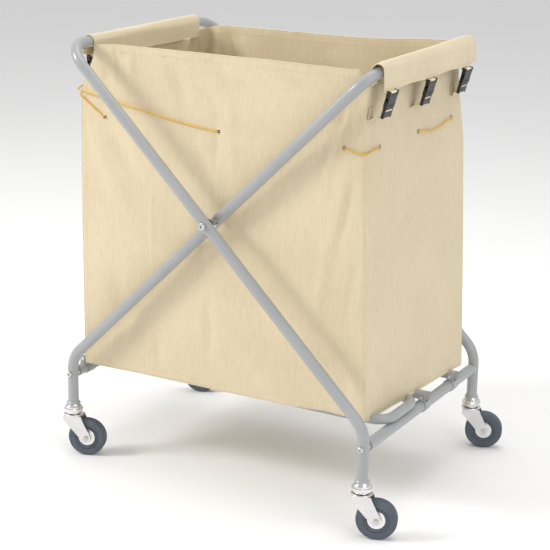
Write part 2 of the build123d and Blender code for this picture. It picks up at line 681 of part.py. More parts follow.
route += round_corner(-1, -1, OUT + 2 * CORD_R + 0.4, EYELET_Z + 62)
route += [CORD_END]

route_points = [Vector(*place) for place in route]
cord_radii = []
for before, corner, after in zip(route_points, route_points[1:], route_points[2:]):
    turn = (corner - before).get_angle(after - corner)
    cord_radii.append(CORD_BEND_R if turn > 20 else SAG_BEND_R)

with BuildPart() as drawcord:
    with BuildLine() as cord_path:
        FilletPolyline(*route_points, radius=cord_radii)
    with BuildSketch(Plane(origin=cord_path.line @ 0, z_dir=cord_path.line % 0)):
        Circle(CORD_R)
    sweep(path=cord_path.line)
save(drawcord, "drawcord")

with BuildPart() as drawcord_knot:
    with Locations(KNOT_PLACE):
        Sphere(KNOT_R)
        with Locations(*[(0, shift, -TAIL_LENGTH / 2) for shift in TAIL_SHIFTS]):
            Cylinder(CORD_R, TAIL_LENGTH)
save(drawcord_knot, "drawcord_knot")

# ---- side-release buckles and their webbing -----------------------------------------------------
BUCKLE_ROWS = ("front", "middle", "rear")
BUCKLE_CLEAR = 0.5
SOCKET_LENGTH = 36.0
SOCKET_THICKNESS = 9.0
EAR_LENGTH = 6.5
SLOT_WIDTH = WEBBING_WIDTH + 0.8
CAVITY_WIDTH = 33.0
CAVITY_DEPTH = 24.0
CAVITY_HEIGHT = 5.6
BAR_R = 1.3
TONGUE_LENGTH = 23.0
TONGUE_THICKNESS = 7.0
TONGUE_GAP = 0.4
TONGUE_SLOT = 4.5
PRONG_X = 11.5
PRONG_LENGTH = 20.0
WEBBING = 1.4
TAB_FOOT_Z = 852.0


def buckle_plane(side, y):
    """A buckle's own plane: x across it, y up along it, z outwards, with its origin at the top edge."""
    tilt = math.radians(BUCKLE_TILT[side])
    face_x = TOP_BAR_X + TUBE_R + FLAP_GAP + FLAP_CLOTH + FLAP_LEAN + BUCKLE_CLEAR
    centre_x = face_x + (SOCKET_THICKNESS / 2) / math.cos(tilt) + 0.9
    return Plane(
        origin=(side * centre_x, y, BUCKLE_TOP_Z[side]),
        x_dir=(0, side, 0),
        z_dir=(side * math.cos(tilt), 0, -math.sin(tilt)),
    )


def buckle_set(side_name, side):
    """Three side-release buckles on one side: sockets, tongues, and the webbing that holds them."""
    planes = [buckle_plane(side, y) for y in BUCKLE_Y[side]]
    tongue_top = -SOCKET_LENGTH - TONGUE_GAP
    with BuildPart(*planes) as sockets:
        with Locations((0, -SOCKET_LENGTH / 2, 0)):
            Box(BUCKLE_WIDTH, SOCKET_LENGTH, SOCKET_THICKNESS)
        with Locations((0, -EAR_LENGTH / 2, 0)):
            Box(SLOT_WIDTH, EAR_LENGTH, 2 * SOCKET_THICKNESS, mode=Mode.SUBTRACT)
        with Locations((0, -SOCKET_LENGTH + CAVITY_DEPTH / 2, 0)):
            Box(CAVITY_WIDTH, CAVITY_DEPTH, CAVITY_HEIGHT, mode=Mode.SUBTRACT)
        with Locations((BUCKLE_WIDTH / 2, -20, 0), (-BUCKLE_WIDTH / 2, -20, 0)):
            Box(9, 9, CAVITY_HEIGHT, mode=Mode.SUBTRACT)
        with Locations((0, -EAR_LENGTH * 0.55, 0)):
            Cylinder(BAR_R, SLOT_WIDTH + 2, rotation=(0, 90, 0))
    save(sockets, f"buckle_sockets_{side_name}")

    for row, plane in zip(BUCKLE_ROWS, planes):
        with BuildPart(plane) as tongue:
            with Locations((0, tongue_top - TONGUE_LENGTH / 2, 0)):
                Box(BUCKLE_WIDTH - 2, TONGUE_LENGTH, TONGUE_THICKNESS)
            with Locations((0, tongue_top - 4 - TONGUE_SLOT / 2, 0), (0, tongue_top - TONGUE_LENGTH, 0)):
                Box(SLOT_WIDTH, TONGUE_SLOT, 2 * TONGUE_THICKNESS, mode=Mode.SUBTRACT)
            with Locations(*[(x, tongue_top + PRONG_LENGTH / 2, 0) for x in (-PRONG_X, 0, PRONG_X)]):
                Box(5.0, PRONG_LENGTH, 4.0)
        save(tongue, f"buckle_tongue_{side_name}_{row}")

    flap_face = TOP_BAR_X + TUBE_R + FLAP_GAP + FLAP_CLOTH
    strap_top = planes[0].from_local_coords((0, tongue_top - TONGUE_LENGTH + 1, -WEBBING))
    with BuildPart() as straps:
        for y in BUCKLE_Y[side]:
            foot, bend = (
                max(bag_side_x(side, y + s * WEBBING_WIDTH / 2, z) for s in SIDES) + 0.1
                for z in (TAB_FOOT_Z, TAB_FOOT_Z + 16)
            )
            start = Plane(origin=(0, y + WEBBING_WIDTH / 2, 0), x_dir=(1, 0, 0), z_dir=(0, -1, 0))
            with BuildSketch(start):
                with BuildLine():
                    Polyline(
                        (strap_top.X, strap_top.Z),
                        (side * bend, TAB_FOOT_Z + 16),
                        (side * foot, TAB_FOOT_Z),
                        (side * (foot + WEBBING), TAB_FOOT_Z),
                        (side * (bend + WEBBING), TAB_FOOT_Z + 15),
                        (strap_top.X + side * WEBBING, strap_top.Z - 1),
                        close=True,
                    )
                make_face()
            extrude(amount=WEBBING_WIDTH)
        for y in BUCKLE_Y[side]:
            with Locations((side * (flap_face + FLAP_LEAN * 0.8 + 1.1), y, FLAP_EDGE_Z + 12)):
                Box(WEBBING, WEBBING_WIDTH, 10)
    save(straps, f"buckle_straps_{side_name}")


buckle_set("left", -1)
buckle_set("right", 1)
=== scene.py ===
"""Looks for the folding linen trolley: canvas bag, flaps, buckles, drawcord, materials, light and camera."""

import json
import math

import bmesh
import bpy
import numpy as np
from mathutils import Matrix, Vector, noise


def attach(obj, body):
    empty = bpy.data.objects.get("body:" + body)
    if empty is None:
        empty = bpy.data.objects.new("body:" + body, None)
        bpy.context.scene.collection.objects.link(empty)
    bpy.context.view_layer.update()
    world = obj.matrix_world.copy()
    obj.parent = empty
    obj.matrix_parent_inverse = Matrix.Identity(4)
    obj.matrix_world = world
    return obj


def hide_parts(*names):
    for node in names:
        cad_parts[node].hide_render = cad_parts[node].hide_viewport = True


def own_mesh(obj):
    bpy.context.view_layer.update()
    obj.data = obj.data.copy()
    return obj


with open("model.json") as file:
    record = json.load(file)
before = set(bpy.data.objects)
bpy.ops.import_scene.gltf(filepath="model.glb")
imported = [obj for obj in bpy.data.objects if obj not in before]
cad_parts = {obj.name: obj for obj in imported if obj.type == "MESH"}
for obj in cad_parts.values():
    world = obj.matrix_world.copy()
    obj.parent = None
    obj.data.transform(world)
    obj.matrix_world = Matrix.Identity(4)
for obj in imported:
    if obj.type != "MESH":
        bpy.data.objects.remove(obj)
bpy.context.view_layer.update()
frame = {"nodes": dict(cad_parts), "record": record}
nodes = frame["nodes"]

# ---- camera, floor and light --------------------------------------------------------------------
# Found by a least-squares fit made outside this script.
CAMERA_PLACE = (1.67415, -2.98033, 1.43835)
YAW, PITCH, ROLL = math.radians(29.25), math.radians(16.19), math.radians(1.2)
FOCAL_SHARE = 1518.17 / 550
SENSOR_MM = 36.0


def linked(name, data):
    """A new object, in the scene."""
    made = bpy.data.objects.new(name, data)
    bpy.context.scene.collection.objects.link(made)
    return made


def place_camera():
    forward = Vector((-math.sin(YAW) * math.cos(PITCH), math.cos(YAW) * math.cos(PITCH), -math.sin(PITCH)))
    level = Vector((math.cos(YAW), math.sin(YAW), 0))
    over = level.cross(forward)
    right = level * math.cos(ROLL) + over * math.sin(ROLL)
    up = over * math.cos(ROLL) - level * math.sin(ROLL)
    data = bpy.data.cameras.new("main_camera")
    data.sensor_width = SENSOR_MM
    data.lens = FOCAL_SHARE * SENSOR_MM
    data.clip_end = 60.0
    camera = linked("main_camera", data)
    turn = Matrix((right, up, -forward)).transposed()
    camera.matrix_world = Matrix.Translation(CAMERA_PLACE) @ turn.to_4x4()
    bpy.context.scene.camera = camera


def node_material(name, colour, roughness, metallic=0.0, **more):
    """A Principled material whose tree can be extended; returns (material, tree, shader)."""
    material = bpy.data.materials.new(name)
    material.use_nodes = True
    tree = material.node_tree
    shader = tree.nodes["Principled BSDF"]
    shader.inputs["Base Color"].default_value = (*colour, 1)
    shader.inputs["Roughness"].default_value = roughness
    shader.inputs["Metallic"].default_value = metallic
    for socket, value in more.items():
        shader.inputs[socket.replace("_", " ")].default_value = value
    return material, tree, shader


def add(tree, kind, **values):
    made = tree.nodes.new(kind)
    for key, value in values.items():
        if key in made.inputs:
            made.inputs[key].default_value = value
        else:
            setattr(made, key, value)
    return made


def noise_node(tree, scale, detail=3.0, stretch=(1, 1, 1)):
    """Noise over the piece's own coordinates, stretched along its axes."""
    place = add(tree, "ShaderNodeTexCoord")
    mapping = add(tree, "ShaderNodeMapping")
    mapping.inputs["Scale"].default_value = stretch
    texture = add(tree, "ShaderNodeTexNoise", Scale=scale, Detail=detail)
    tree.links.new(place.outputs["Object"], mapping.inputs["Vector"])
    tree.links.new(mapping.outputs["Vector"], texture.inputs["Vector"])
    return texture


def ramp(tree, source, low, high, at=(0.3, 0.7)):
    """A colour ramp from low to high driven by source."""
    made = add(tree, "ShaderNodeValToRGB")
    made.color_ramp.elements[0].position, made.color_ramp.elements[1].position = at
    made.color_ramp.elements[0].color = (*low, 1)
    made.color_ramp.elements[1].color = (*high, 1)
    tree.links.new(source, made.inputs["Fac"])
    return made.outputs["Color"]


def span(tree, source, low, high):
    """A value from low to high driven by source."""
    made = add(tree, "ShaderNodeMapRange")
    made.inputs["From Min"].default_value, made.inputs["From Max"].default_value = 0.3, 0.7
    made.inputs["To Min"].default_value, made.inputs["To Max"].default_value = low, high
    tree.links.new(source, made.inputs["Value"])
    return made.outputs["Result"]


def bump(tree, shader, height, distance, strength=1.0):
    made = add(tree, "ShaderNodeBump", Strength=strength, Distance=distance)
    tree.links.new(height, made.inputs["Height"])
    tree.links.new(made.outputs["Normal"], shader.inputs["Normal"])


def mottled(tree, shader, source, colours, roughnesses, at=(0.3, 0.7)):
    """Base colour and roughness that vary together."""
    tree.links.new(ramp(tree, source, *colours, at), shader.inputs["Base Color"])
    tree.links.new(span(tree, source, *roughnesses), shader.inputs["Roughness"])


def floor_and_light():
    mesh = bpy.data.meshes.new("floor")
    reach = 14.0
    corners = [(-reach, -reach, 0), (reach, -reach, 0), (reach, reach, 0), (-reach, reach, 0)]
    mesh.from_pydata(corners, [], [(0, 1, 2, 3)])
    floor = linked("floor", mesh)
    material, tree, shader = node_material("floor_pale", (0.93, 0.93, 0.93), 0.85)
    wear = noise_node(tree, 1.6)
    pale = ramp(tree, wear.outputs["Fac"], (0.925, 0.925, 0.925), (0.94, 0.94, 0.94))
    tree.links.new(pale, shader.inputs["Base Color"])
    mesh.materials.append(material)

    world = bpy.data.worlds.new("studio")
    world.use_nodes = True
    world.node_tree.nodes["Background"].inputs["Color"].default_value = (1.0, 1.0, 1.0, 1)
    world.node_tree.nodes["Background"].inputs["Strength"].default_value = WORLD_STRENGTH
    bpy.context.scene.world = world

    for name, place, aim, size, power, colour in LAMPS:
        data = bpy.data.lights.new(name, "AREA")
        data.shape, data.size = "SQUARE", size
        data.energy, data.color = power, colour
        lamp = linked(name, data)
        lamp.location = place
        lamp.rotation_euler = (Vector(aim) - Vector(place)).to_track_quat("-Z", "Y").to_euler()
    bpy.context.scene.view_settings.view_transform = "Standard"


WORLD_STRENGTH = 0.66
LAMPS = (
    ("key", (-3.2, -2.5, 3.0), (0.0, 0.0, 0.6), 1.2, 120.0, (1.0, 0.985, 0.96)),
    ("fill", (3.4, -1.6, 2.2), (0.0, 0.0, 0.5), 2.4, 38.0, (0.97, 0.985, 1.0)),
    ("top", (0.3, 0.6, 4.2), (0.0, 0.0, 0.6), 2.6, 60.0, (1.0, 1.0, 1.0)),
)
place_camera()
floor_and_light()

# ---- materials ----------------------------------------------------------------------------------
CANVAS_LIGHT = (0.72, 0.615, 0.425)
CANVAS_DARK = (0.675, 0.57, 0.385)


def weave_height(tree, pitch):
    """Height of a plain weave: two wave sets at right angles on the piece's UV map, in metres."""
    uv = add(tree, "ShaderNodeUVMap")
    sums = []
    for direction in ("X", "Y"):
        wave = add(tree, "ShaderNodeTexWave", wave_type="BANDS", bands_direction=direction)
        wave.inputs["Scale"].default_value = 1.0 / (pitch * 3.3)
        wave.inputs["Distortion"].default_value = 1.2
        wave.inputs["Detail"].default_value = 1.0
        wave.inputs["Detail Scale"].default_value = 2.0
        tree.links.new(uv.outputs["UV"], wave.inputs["Vector"])
        sums.append(wave.outputs["Fac"])
    joined = add(tree, "ShaderNodeMath", operation="MULTIPLY")
    tree.links.new(sums[0], joined.inputs[0])
    tree.links.new(sums[1], joined.inputs[1])
    return joined.outputs[0]


def cloth_material(name, light, dark, pitch, roughness=0.88):
    material, tree, shader = node_material(name, light, roughness)
    shader.inputs["Sheen Weight"].default_value = 0.25
    shader.inputs["Sheen Roughness"].default_value = 0.5
    shader.inputs["Specular IOR Level"].default_value = 0.25
    patches = noise_node(tree, 5.0, 4.0)
    slubs = noise_node(tree, 260.0, 2.0, (1, 1, 0.12))
    cloudy = ramp(tree, patches.outputs["Fac"], dark, light, (0.3, 0.66))
    thready = ramp(tree, slubs.outputs["Fac"], (0.93, 0.92, 0.9), (1.0, 1.0, 1.0), (0.3, 0.6))
    mixed = add(tree, "ShaderNodeMix", data_type="RGBA", blend_type="MULTIPLY")
    mixed.inputs["Factor"].default_value = 0.8
    tree.links.new(cloudy, mixed.inputs[6])
    tree.links.new(thready, mixed.inputs[7])
    tree.links.new(mixed.outputs[2], shader.inputs["Base Color"])
    tree.links.new(span(tree, patches.outputs["Fac"], roughness - 0.06, roughness + 0.06), shader.inputs["Roughness"])
    height = add(tree, "ShaderNodeMath", operation="ADD")
    tree.links.new(weave_height(tree, pitch), height.inputs[0])
    tree.links.new(slubs.outputs["Fac"], height.inputs[1])
    bump(tree, shader, height.outputs[0], pitch * 0.35, 0.55)
    return material


def paint_material(name, colour, roughness):
    """Powder coat: a slight orange peel, and a little uneven gloss."""
    material, tree, shader = node_material(name, colour, roughness)
    shader.inputs["Coat Weight"].default_value = 0.25
    shader.inputs["Coat Roughness"].default_value = 0.25
    uneven = noise_node(tree, 9.0, 4.0)
    darker = tuple(c * 0.93 for c in colour)
    mottled(tree, shader, uneven.outputs["Fac"], (darker, colour), (roughness - 0.05, roughness + 0.07))
    peel = noise_node(tree, 620.0, 2.0)
    bump(tree, shader, peel.outputs["Fac"], 0.00025, 0.35)
    return material


def metal_material(name, colour, roughness, grain=(1, 1, 1)):
    """Plated metal with faint grain and smudges."""
    material, tree, shader = node_material(name, colour, roughness, 1.0)
    smudges = noise_node(tree, 34.0, 4.0)
    dull = tuple(c * 0.86 for c in colour)
    mottled(tree, shader, smudges.outputs["Fac"], (dull, colour), (roughness * 0.7, roughness * 1.5))
    fine = noise_node(tree, 240.0, 2.0, grain)
    bump(tree, shader, fine.outputs["Fac"], 0.00015, 0.4)
    return material


def moulded_material(name, colour, roughness):
    """Moulded plastic or rubber: a fine spark-eroded texture and slight wear."""
    material, tree, shader = node_material(name, colour, roughness)
    worn = noise_node(tree, 45.0, 4.0)
    lighter = tuple(min(1.0, c * 1.25 + 0.01) for c in colour)
    rough = (roughness - 0.06, roughness + 0.08)
    mottled(tree, shader, worn.outputs["Fac"], (colour, lighter), rough, (0.45, 0.8))
    fine = noise_node(tree, 900.0, 2.0)
    bump(tree, shader, fine.outputs["Fac"], 0.0002, 0.4)
    return material


CANVAS = cloth_material("cream_canvas", CANVAS_LIGHT, CANVAS_DARK, 0.0011)
WEBBING = cloth_material("cream_webbing", (0.8, 0.71, 0.52), (0.7, 0.6, 0.42), 0.0016)
THREAD = cloth_material("cream_thread", (0.86, 0.77, 0.58), (0.76, 0.66, 0.46), 0.0004)
CORD = cloth_material("yellow_cord", (0.88, 0.58, 0.1), (0.74, 0.44, 0.05), 0.0006)
PAINT = paint_material("silver_paint", (0.36, 0.37, 0.375), 0.34)
CHROME = metal_material("bright_plate", (0.82, 0.81, 0.8), 0.12)
ZINC = metal_material("zinc_plate", (0.78, 0.765, 0.77), 0.27, (1, 1, 0.15))
BOLT = metal_material("bolt_zinc", (0.62, 0.61, 0.6), 0.24)
HUB = metal_material("hub_plate", (0.86, 0.85, 0.85), 0.22)
BRASS = metal_material("eyelet_plate", (0.66, 0.55, 0.38), 0.3)
TYRE = moulded_material("tyre_grey_blue", (0.078, 0.092, 0.115), 0.6)
# Near-black, used only for the discs that fill the eyelets' openings: painted shade of those openings.
HOLE_SHADE = moulded_material("painted_hole_shade", (0.03, 0.031, 0.034), 0.5)
BUCKLE = moulded_material("buckle_black", (0.01, 0.01, 0.012), 0.36)
CAP = moulded_material("cap_grey", (0.23, 0.225, 0.22), 0.5)
SLOT_MATERIALS = {
    "frame_paint": PAINT,
    "bolt_steel": BOLT,
    "hoop_steel": PAINT,
    "clip_plastic": PAINT,
    "cap_plastic": CAP,
    "castor_chrome": CHROME,
    "castor_zinc": ZINC,
    "hub_metal": HUB,
    "tyre_rubber": TYRE,
    "canvas": CANVAS,
    "eyelet_brass": BRASS,
    "cord_yellow": CORD,
    "webbing": WEBBING,
    "buckle_plastic": BUCKLE,
}
for part in frame["record"]["subparts"]:
    data = nodes[part["node"]].data
    data.materials.clear()
    data.materials.append(SLOT_MATERIALS[part["material_slot"]])


def put(name, mesh, material, body="bag", replaced=()):
    """A piece from a mesh: smooth, with its material, riding a body, and hiding the parts it replaces."""
    piece = linked(name, mesh)
    mesh.materials.clear()
    mesh.materials.append(material)
    mesh.polygons.foreach_set("use_smooth", [True] * len(mesh.polygons))
    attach(piece, body)
    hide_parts(*replaced)
    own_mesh(piece)
    return piece


def evaluated(data, modifiers=()):
    """The mesh that data, a mesh or a curve, evaluates to with modifiers, each (type, {setting: value})."""
    holder = linked("holder", data)
    for number, (kind, settings) in enumerate(modifiers):
        modifier = holder.modifiers.new(f"step{number}", kind)
        for key, value in settings.items():
            setattr(modifier, key, value)
    graph = bpy.context.evaluated_depsgraph_get()
    made = bpy.data.meshes.new_from_object(holder.evaluated_get(graph))
    bpy.data.objects.remove(holder)
    return made


def thickened(mesh, thickness, offset=0.0, *first):
    """The mesh of a sheet made solid, after any modifiers that come first."""
    return evaluated(mesh, (*first, ("SOLIDIFY", {"thickness": thickness, "offset": offset})))


def distances(line):
    """The distance of each point of a line from its start, along it."""
    return np.concatenate(([0], np.cumsum(np.linalg.norm(np.diff(line, axis=0), axis=1))))


def grid_uv(across, down):
    """UVs of a grid from its columns' and its rows' distances, in metres."""
    return np.stack(np.meshgrid(across, down), axis=-1)


def grid_mesh(name, points, uv, closed=False):
    """A sheet of quads from points[row, column]; uv[row, column] is in metres and has one more column when closed."""
    rows, columns = points.shape[:2]
    faces, corners = [], []
    for row in range(rows - 1):
        for column in range(columns if closed else columns - 1):
            after = (column + 1) % columns
            here, below = row * columns, (row + 1) * columns
            faces.append((here + column, here + after, below + after, below + column))
            corners += [uv[row, column], uv[row, column + 1], uv[row + 1, column + 1], uv[row + 1, column]]
    mesh = bpy.data.meshes.new(name)
    mesh.from_pydata(points.reshape(-1, 3).tolist(), [], faces)
    layer = mesh.uv_layers.new(name="UVMap")
    layer.data.foreach_set("uv", np.array(corners, float).ravel())
    return mesh


def joined(name, meshes):
    """One mesh made of several."""
    gathered = bmesh.new()
    for mesh in meshes:
        gathered.from_mesh(mesh)
        bpy.data.meshes.remove(mesh)
    made = bpy.data.meshes.new(name)
    gathered.to_mesh(made)
    gathered.free()
    return made


def tube_mesh(name, line, radius, sides=8, twist=0.0, offset=0.0, closed_ends=True):
    """A tube along a line of points; offset and twist (turns per metre) wind it round that line."""
    line = np.asarray(line, float)
    along = np.gradient(line, axis=0)
    along /= np.linalg.norm(along, axis=1)[:, None]
    run = distances(line)
    up = np.zeros_like(line)
    first = np.cross(along[0], (0.0, 0.0, 1.0))
    if np.linalg.norm(first) < 1e-3:
        first = np.array((1.0, 0.0, 0.0))
    up[0] = first / np.linalg.norm(first)
    for k in range(1, len(line)):
        carried = up[k - 1] - along[k] * np.dot(up[k - 1], along[k])
        up[k] = carried / np.linalg.norm(carried)
    side = np.cross(along, up)
    turn = 2 * math.pi * twist * run
    centre = line + offset * (np.cos(turn)[:, None] * up + np.sin(turn)[:, None] * side)
    angles = np.linspace(0, 2 * math.pi, sides, endpoint=False)
    ring = np.cos(angles)[None, :, None] * up[:, None, :] + np.sin(angles)[None, :, None] * side[:, None, :]
    radii = np.full(len(line), radius)
    if closed_ends:
        radii[0] = radii[-1] = radius * 0.55
    points = centre[:, None, :] + radii[:, None, None] * ring
    uv = grid_uv(np.linspace(0, 2 * math.pi * radius, sides + 1), run)
    mesh = grid_mesh(name, points, uv, closed=True)
    if closed_ends:
        gathered = bmesh.new()
        gathered.from_mesh(mesh)
        gathered.verts.ensure_lookup_table()
        last = len(line) - 1
        gathered.faces.new([gathered.verts[k] for k in reversed(range(sides))])
        gathered.faces.new([gathered.verts[last * sides + k] for k in range(sides)])
        gathered.to_mesh(mesh)
        gathered.free()
    return mesh


# ---- shape of the bag ---------------------------------------------------------------------------
LEFT, RIGHT, FRONT, BACK = -1, 1, -1, 1
SIDES = ((LEFT, "left"), (RIGHT, "right"))
BAG_Y = 0.222
CANVAS_THICK = 0.0016
# BAG_REACH, the edges and many of FRONT_FOLDS were read off the reference view through that camera.
BAG_LEVELS = (0.2386, 0.56, 0.78, 0.885, 0.955)
BAG_REACH = {
    (LEFT, FRONT): (0.384, 0.386, 0.384, 0.381, 0.347),
    (LEFT, BACK): (0.374, 0.374, 0.37, 0.366, 0.347),
    (RIGHT, FRONT): (0.359, 0.344, 0.333, 0.33, 0.345),
    (RIGHT, BACK): (0.396, 0.381, 0.369, 0.352, 0.347),
}
SIDE_TOP_Z = 0.955
CORNER_R = 0.007
EYELET_Z = 0.822


def corner_x(side, front, z):
    """How far the bag's corner stands from the middle at height z, its bends softened."""
    reach = BAG_REACH[side, front]
    return sum(np.interp(z + shift, BAG_LEVELS, reach) for shift in (-0.012, 0.0, 0.012)) / 3


FRONT_TOP = (
    (-0.35, 0.979), (-0.257, 0.986), (-0.178, 0.988), (-0.016, 0.986), (0.162, 0.983), (0.302, 0.981), (0.34, 0.984),
)
BACK_TOP = (
    (-0.345, 0.972), (-0.3, 0.984), (-0.083, 0.985), (0.095, 0.985), (0.181, 0.988), (0.265, 0.995), (0.33, 0.998),
)
FRONT_BOTTOM = ((-0.384, 0.221), (-0.217, 0.225), (-0.034, 0.226), (0.166, 0.227), (0.265, 0.234), (0.359, 0.23))
BACK_BOTTOM = ((-0.384, 0.232), (0.396, 0.232))

# Folds: from (along, height) to (along, height), half width, and height outwards.
FRONT_FOLDS = (
    (-0.289, 0.975, -0.28, 0.905, 0.005, -0.003),
    (-0.249, 0.972, -0.244, 0.905, 0.012, 0.0035),
    (-0.32, 0.955, -0.3, 0.88, 0.02, -0.004),
    (-0.15, 0.955, -0.095, 0.865, 0.016, -0.006),
    (-0.105, 0.95, -0.06, 0.88, 0.015, 0.003),
    (-0.06, 0.968, 0.075, 0.88, 0.019, -0.006),
    (-0.01, 0.962, 0.04, 0.925, 0.016, 0.003),
    (0.072, 0.968, 0.235, 0.917, 0.013, -0.004),
    (0.225, 0.978, 0.283, 0.94, 0.009, -0.003),
    (0.16, 0.958, 0.245, 0.905, 0.012, 0.0035),
    (-0.023, 0.865, -0.02, 0.745, 0.011, -0.004),
    (0.012, 0.87, 0.02, 0.76, 0.012, 0.0028),
    (-0.085, 0.79, -0.035, 0.7, 0.015, -0.0038),
    (-0.323, 0.81, -0.22, 0.68, 0.02, -0.006),
    (-0.35, 0.76, -0.24, 0.6, 0.022, 0.004),
    (-0.187, 0.7, -0.188, 0.48, 0.0035, 0.001),
    (0.05, 0.562, 0.125, 0.509, 0.022, -0.005),
    (0.115, 0.516, 0.227, 0.413, 0.024, -0.007),
    (0.215, 0.424, 0.35, 0.25, 0.026, -0.007),
    (0.15, 0.545, 0.3, 0.4, 0.028, 0.0045),
    (0.322, 0.79, 0.284, 0.615, 0.01, -0.005),
    (0.297, 0.925, 0.306, 0.855, 0.008, 0.0035),
    (0.318, 0.92, 0.326, 0.8, 0.005, -0.0025),
    (0.286, 0.925, 0.27, 0.8, 0.01, -0.0035),
    (0.262, 0.91, 0.244, 0.7, 0.012, 0.003),
    (0.31, 0.79, 0.25, 0.56, 0.02, 0.0035),
    (0.045, 0.625, 0.11, 0.56, 0.014, 0.0035),
    (0.253, 0.595, 0.24, 0.43, 0.013, 0.0035),
    (0.335, 0.61, 0.303, 0.44, 0.011, -0.0045),
    (-0.036, 0.43, -0.034, 0.3, 0.012, -0.003),
    (-0.182, 0.335, -0.168, 0.25, 0.01, -0.003),
    (0.11, 0.275, 0.15, 0.245, 0.01, 0.003),
    (-0.3, 0.47, -0.24, 0.3, 0.03, -0.004),
    (-0.12, 0.64, -0.02, 0.52, 0.03, 0.0035),
    (0.0, 0.33, 0.1, 0.25, 0.025, -0.003),
)
RIGHT_FOLDS = (
    (-0.195, 0.925, -0.205, 0.76, 0.007, 0.0025),
    (-0.18, 0.93, -0.19, 0.7, 0.008, -0.0028),
    (-0.15, 0.905, -0.165, 0.66, 0.012, 0.002),
    (-0.01, 0.9, -0.03, 0.64, 0.02, -0.0022),
    (0.06, 0.88, 0.11, 0.56, 0.03, 0.0026),
    (0.165, 0.895, 0.15, 0.6, 0.016, -0.0026),
    (0.19, 0.6, 0.12, 0.3, 0.03, -0.003),
    (-0.12, 0.52, -0.04, 0.27, 0.035, 0.003),
    (-0.185, 0.36, -0.12, 0.25, 0.02, -0.003),
)
BACK_FOLDS = (
    (-0.318, 0.985, -0.345, 0.85, 0.01, 0.008),
    (-0.29, 0.975, -0.315, 0.83, 0.01, -0.007),
    (-0.262, 0.98, -0.24, 0.82, 0.012, 0.006),
    (-0.225, 0.97, -0.19, 0.86, 0.015, -0.005),
    (-0.15, 0.96, -0.06, 0.8, 0.03, 0.005),
    (0.02, 0.95, 0.12, 0.8, 0.035, -0.004),
    (0.18, 0.96, 0.26, 0.76, 0.03, 0.005),
)
LEFT_FOLDS = (
    (0.195, 0.96, 0.205, 0.8, 0.009, 0.007),
    (0.165, 0.965, 0.15, 0.82, 0.012, -0.007),
    (0.11, 0.95, 0.06, 0.78, 0.02, 0.005),
    (0.0, 0.94, -0.06, 0.7, 0.03, -0.005),
    (-0.15, 0.9, -0.19, 0.7, 0.015, 0.004),
)


FOLD_DEPTH = 1.5


def folded(along, z, folds):
    """The sum of soft-edged folds at points (along, z) of one wall."""
    total = np.zeros_like(along)
    for a0, z0, a1, z1, half_width, height in folds:
        da, dz = a1 - a0, z1 - z0
        length = math.hypot(da, dz)
        share = ((along - a0) * da + (z - z0) * dz) / length**2
        held = np.clip(share, 0.0, 1.0)
        aside = ((along - a0) * dz - (z - z0) * da) / length
        beyond = (share - held) * length
        fade = 0.3 + 0.7 * np.sin(math.pi * held)
        total += FOLD_DEPTH * height * fade * np.exp(-((aside / half_width) ** 2) - (beyond / (1.6 * half_width)) ** 2)
    return total


def swell(along, z, half, low, high, height):
    """A wall's broad swelling, nothing at its edges."""
    across = np.clip(1 - (along / half) ** 2, 0, 1)
    rise = np.clip((z - low) / (high - low), 0, 1)
    return height * across**0.8 * np.sin(math.pi * rise**0.9)


def rumple(a, b, scale, seed):
    """Smooth small wrinkles over the plane (a, b), from about -1 to 1."""
    a, b = np.broadcast_arrays(a, b)
    flat = np.stack([np.ravel(a) / scale, np.ravel(b) / scale], axis=1)
    made = [noise.fractal(Vector((u, v, seed)), 0.9, 2.0, 3) for u, v in flat]
    return np.reshape(made, np.shape(a))


WALLS = {
    "front": (FRONT_FOLDS, 0.008, 0.35, 3.1),
    "right": (RIGHT_FOLDS, 0.003, 0.22, 7.7),
    "back": (BACK_FOLDS, 0.01, 0.35, 12.4),
    "left": (LEFT_FOLDS, 0.005, 0.22, 17.9),
}


def relief(wall, along, z, wrinkles=True):
    """How far a wall stands out from the plain loft: swelling, folds, puckers by the seams, and small wrinkles."""
    folds, fullness, half, seed = WALLS[wall]
    along, z = np.asarray(along, float), np.asarray(z, float)
    total = swell(along, z, half + 0.02, 0.235, 0.965, fullness) + folded(along, z, folds)
    if wrinkles:
        total = total + 0.0011 * rumple(along, z * 0.55, 0.055, seed)
    to_seam = np.minimum(np.abs(half - along), np.abs(half + along))
    total = total + 0.0006 * np.sin(z * 190 + 3 * np.sin(z * 31 + seed)) * np.exp(-((to_seam / 0.022) ** 2))
    drawn = 1 - 0.6 * np.exp(-(((z - EYELET_Z) / 0.03) ** 2))
    return total * drawn


def wall_point(wall, along, z, out=0.0):
    """A point on a wall's outer face, out metres further out, as (x, y, z)."""
    if wall in ("front", "back"):
        s = FRONT if wall == "front" else BACK
        return (along, s * (BAG_Y + float(relief(wall, along, z, False)) + out), z)
    s = LEFT if wall == "left" else RIGHT
    share = (along + BAG_Y) / (2 * BAG_Y)
    plain = corner_x(s, FRONT, z) * (1 - share) + corner_x(s, BACK, z) * share
    return (s * (plain + float(relief(wall, along, z, False)) + out), along, z)


def wall_top(wall, along):
    """The height of the bag's upper edge, cut away where the inner frame's tube bends in at the right."""
    if wall == "front":
        cut = np.interp(along, (0.324, 0.343), (0.984, 0.958))
        return np.minimum(np.interp(along, *zip(*FRONT_TOP)), cut)
    if wall == "back":
        cut = np.interp(along, (0.326, 0.345), (0.997, 0.96))
        return np.minimum(np.interp(along, *zip(*BACK_TOP)), cut)
    if wall == "right":
        return np.interp(np.abs(along), (0.205, 0.222), (SIDE_TOP_Z, 0.95))
    return np.interp(np.abs(along), (0.212, 0.222), (SIDE_TOP_Z, 0.974))


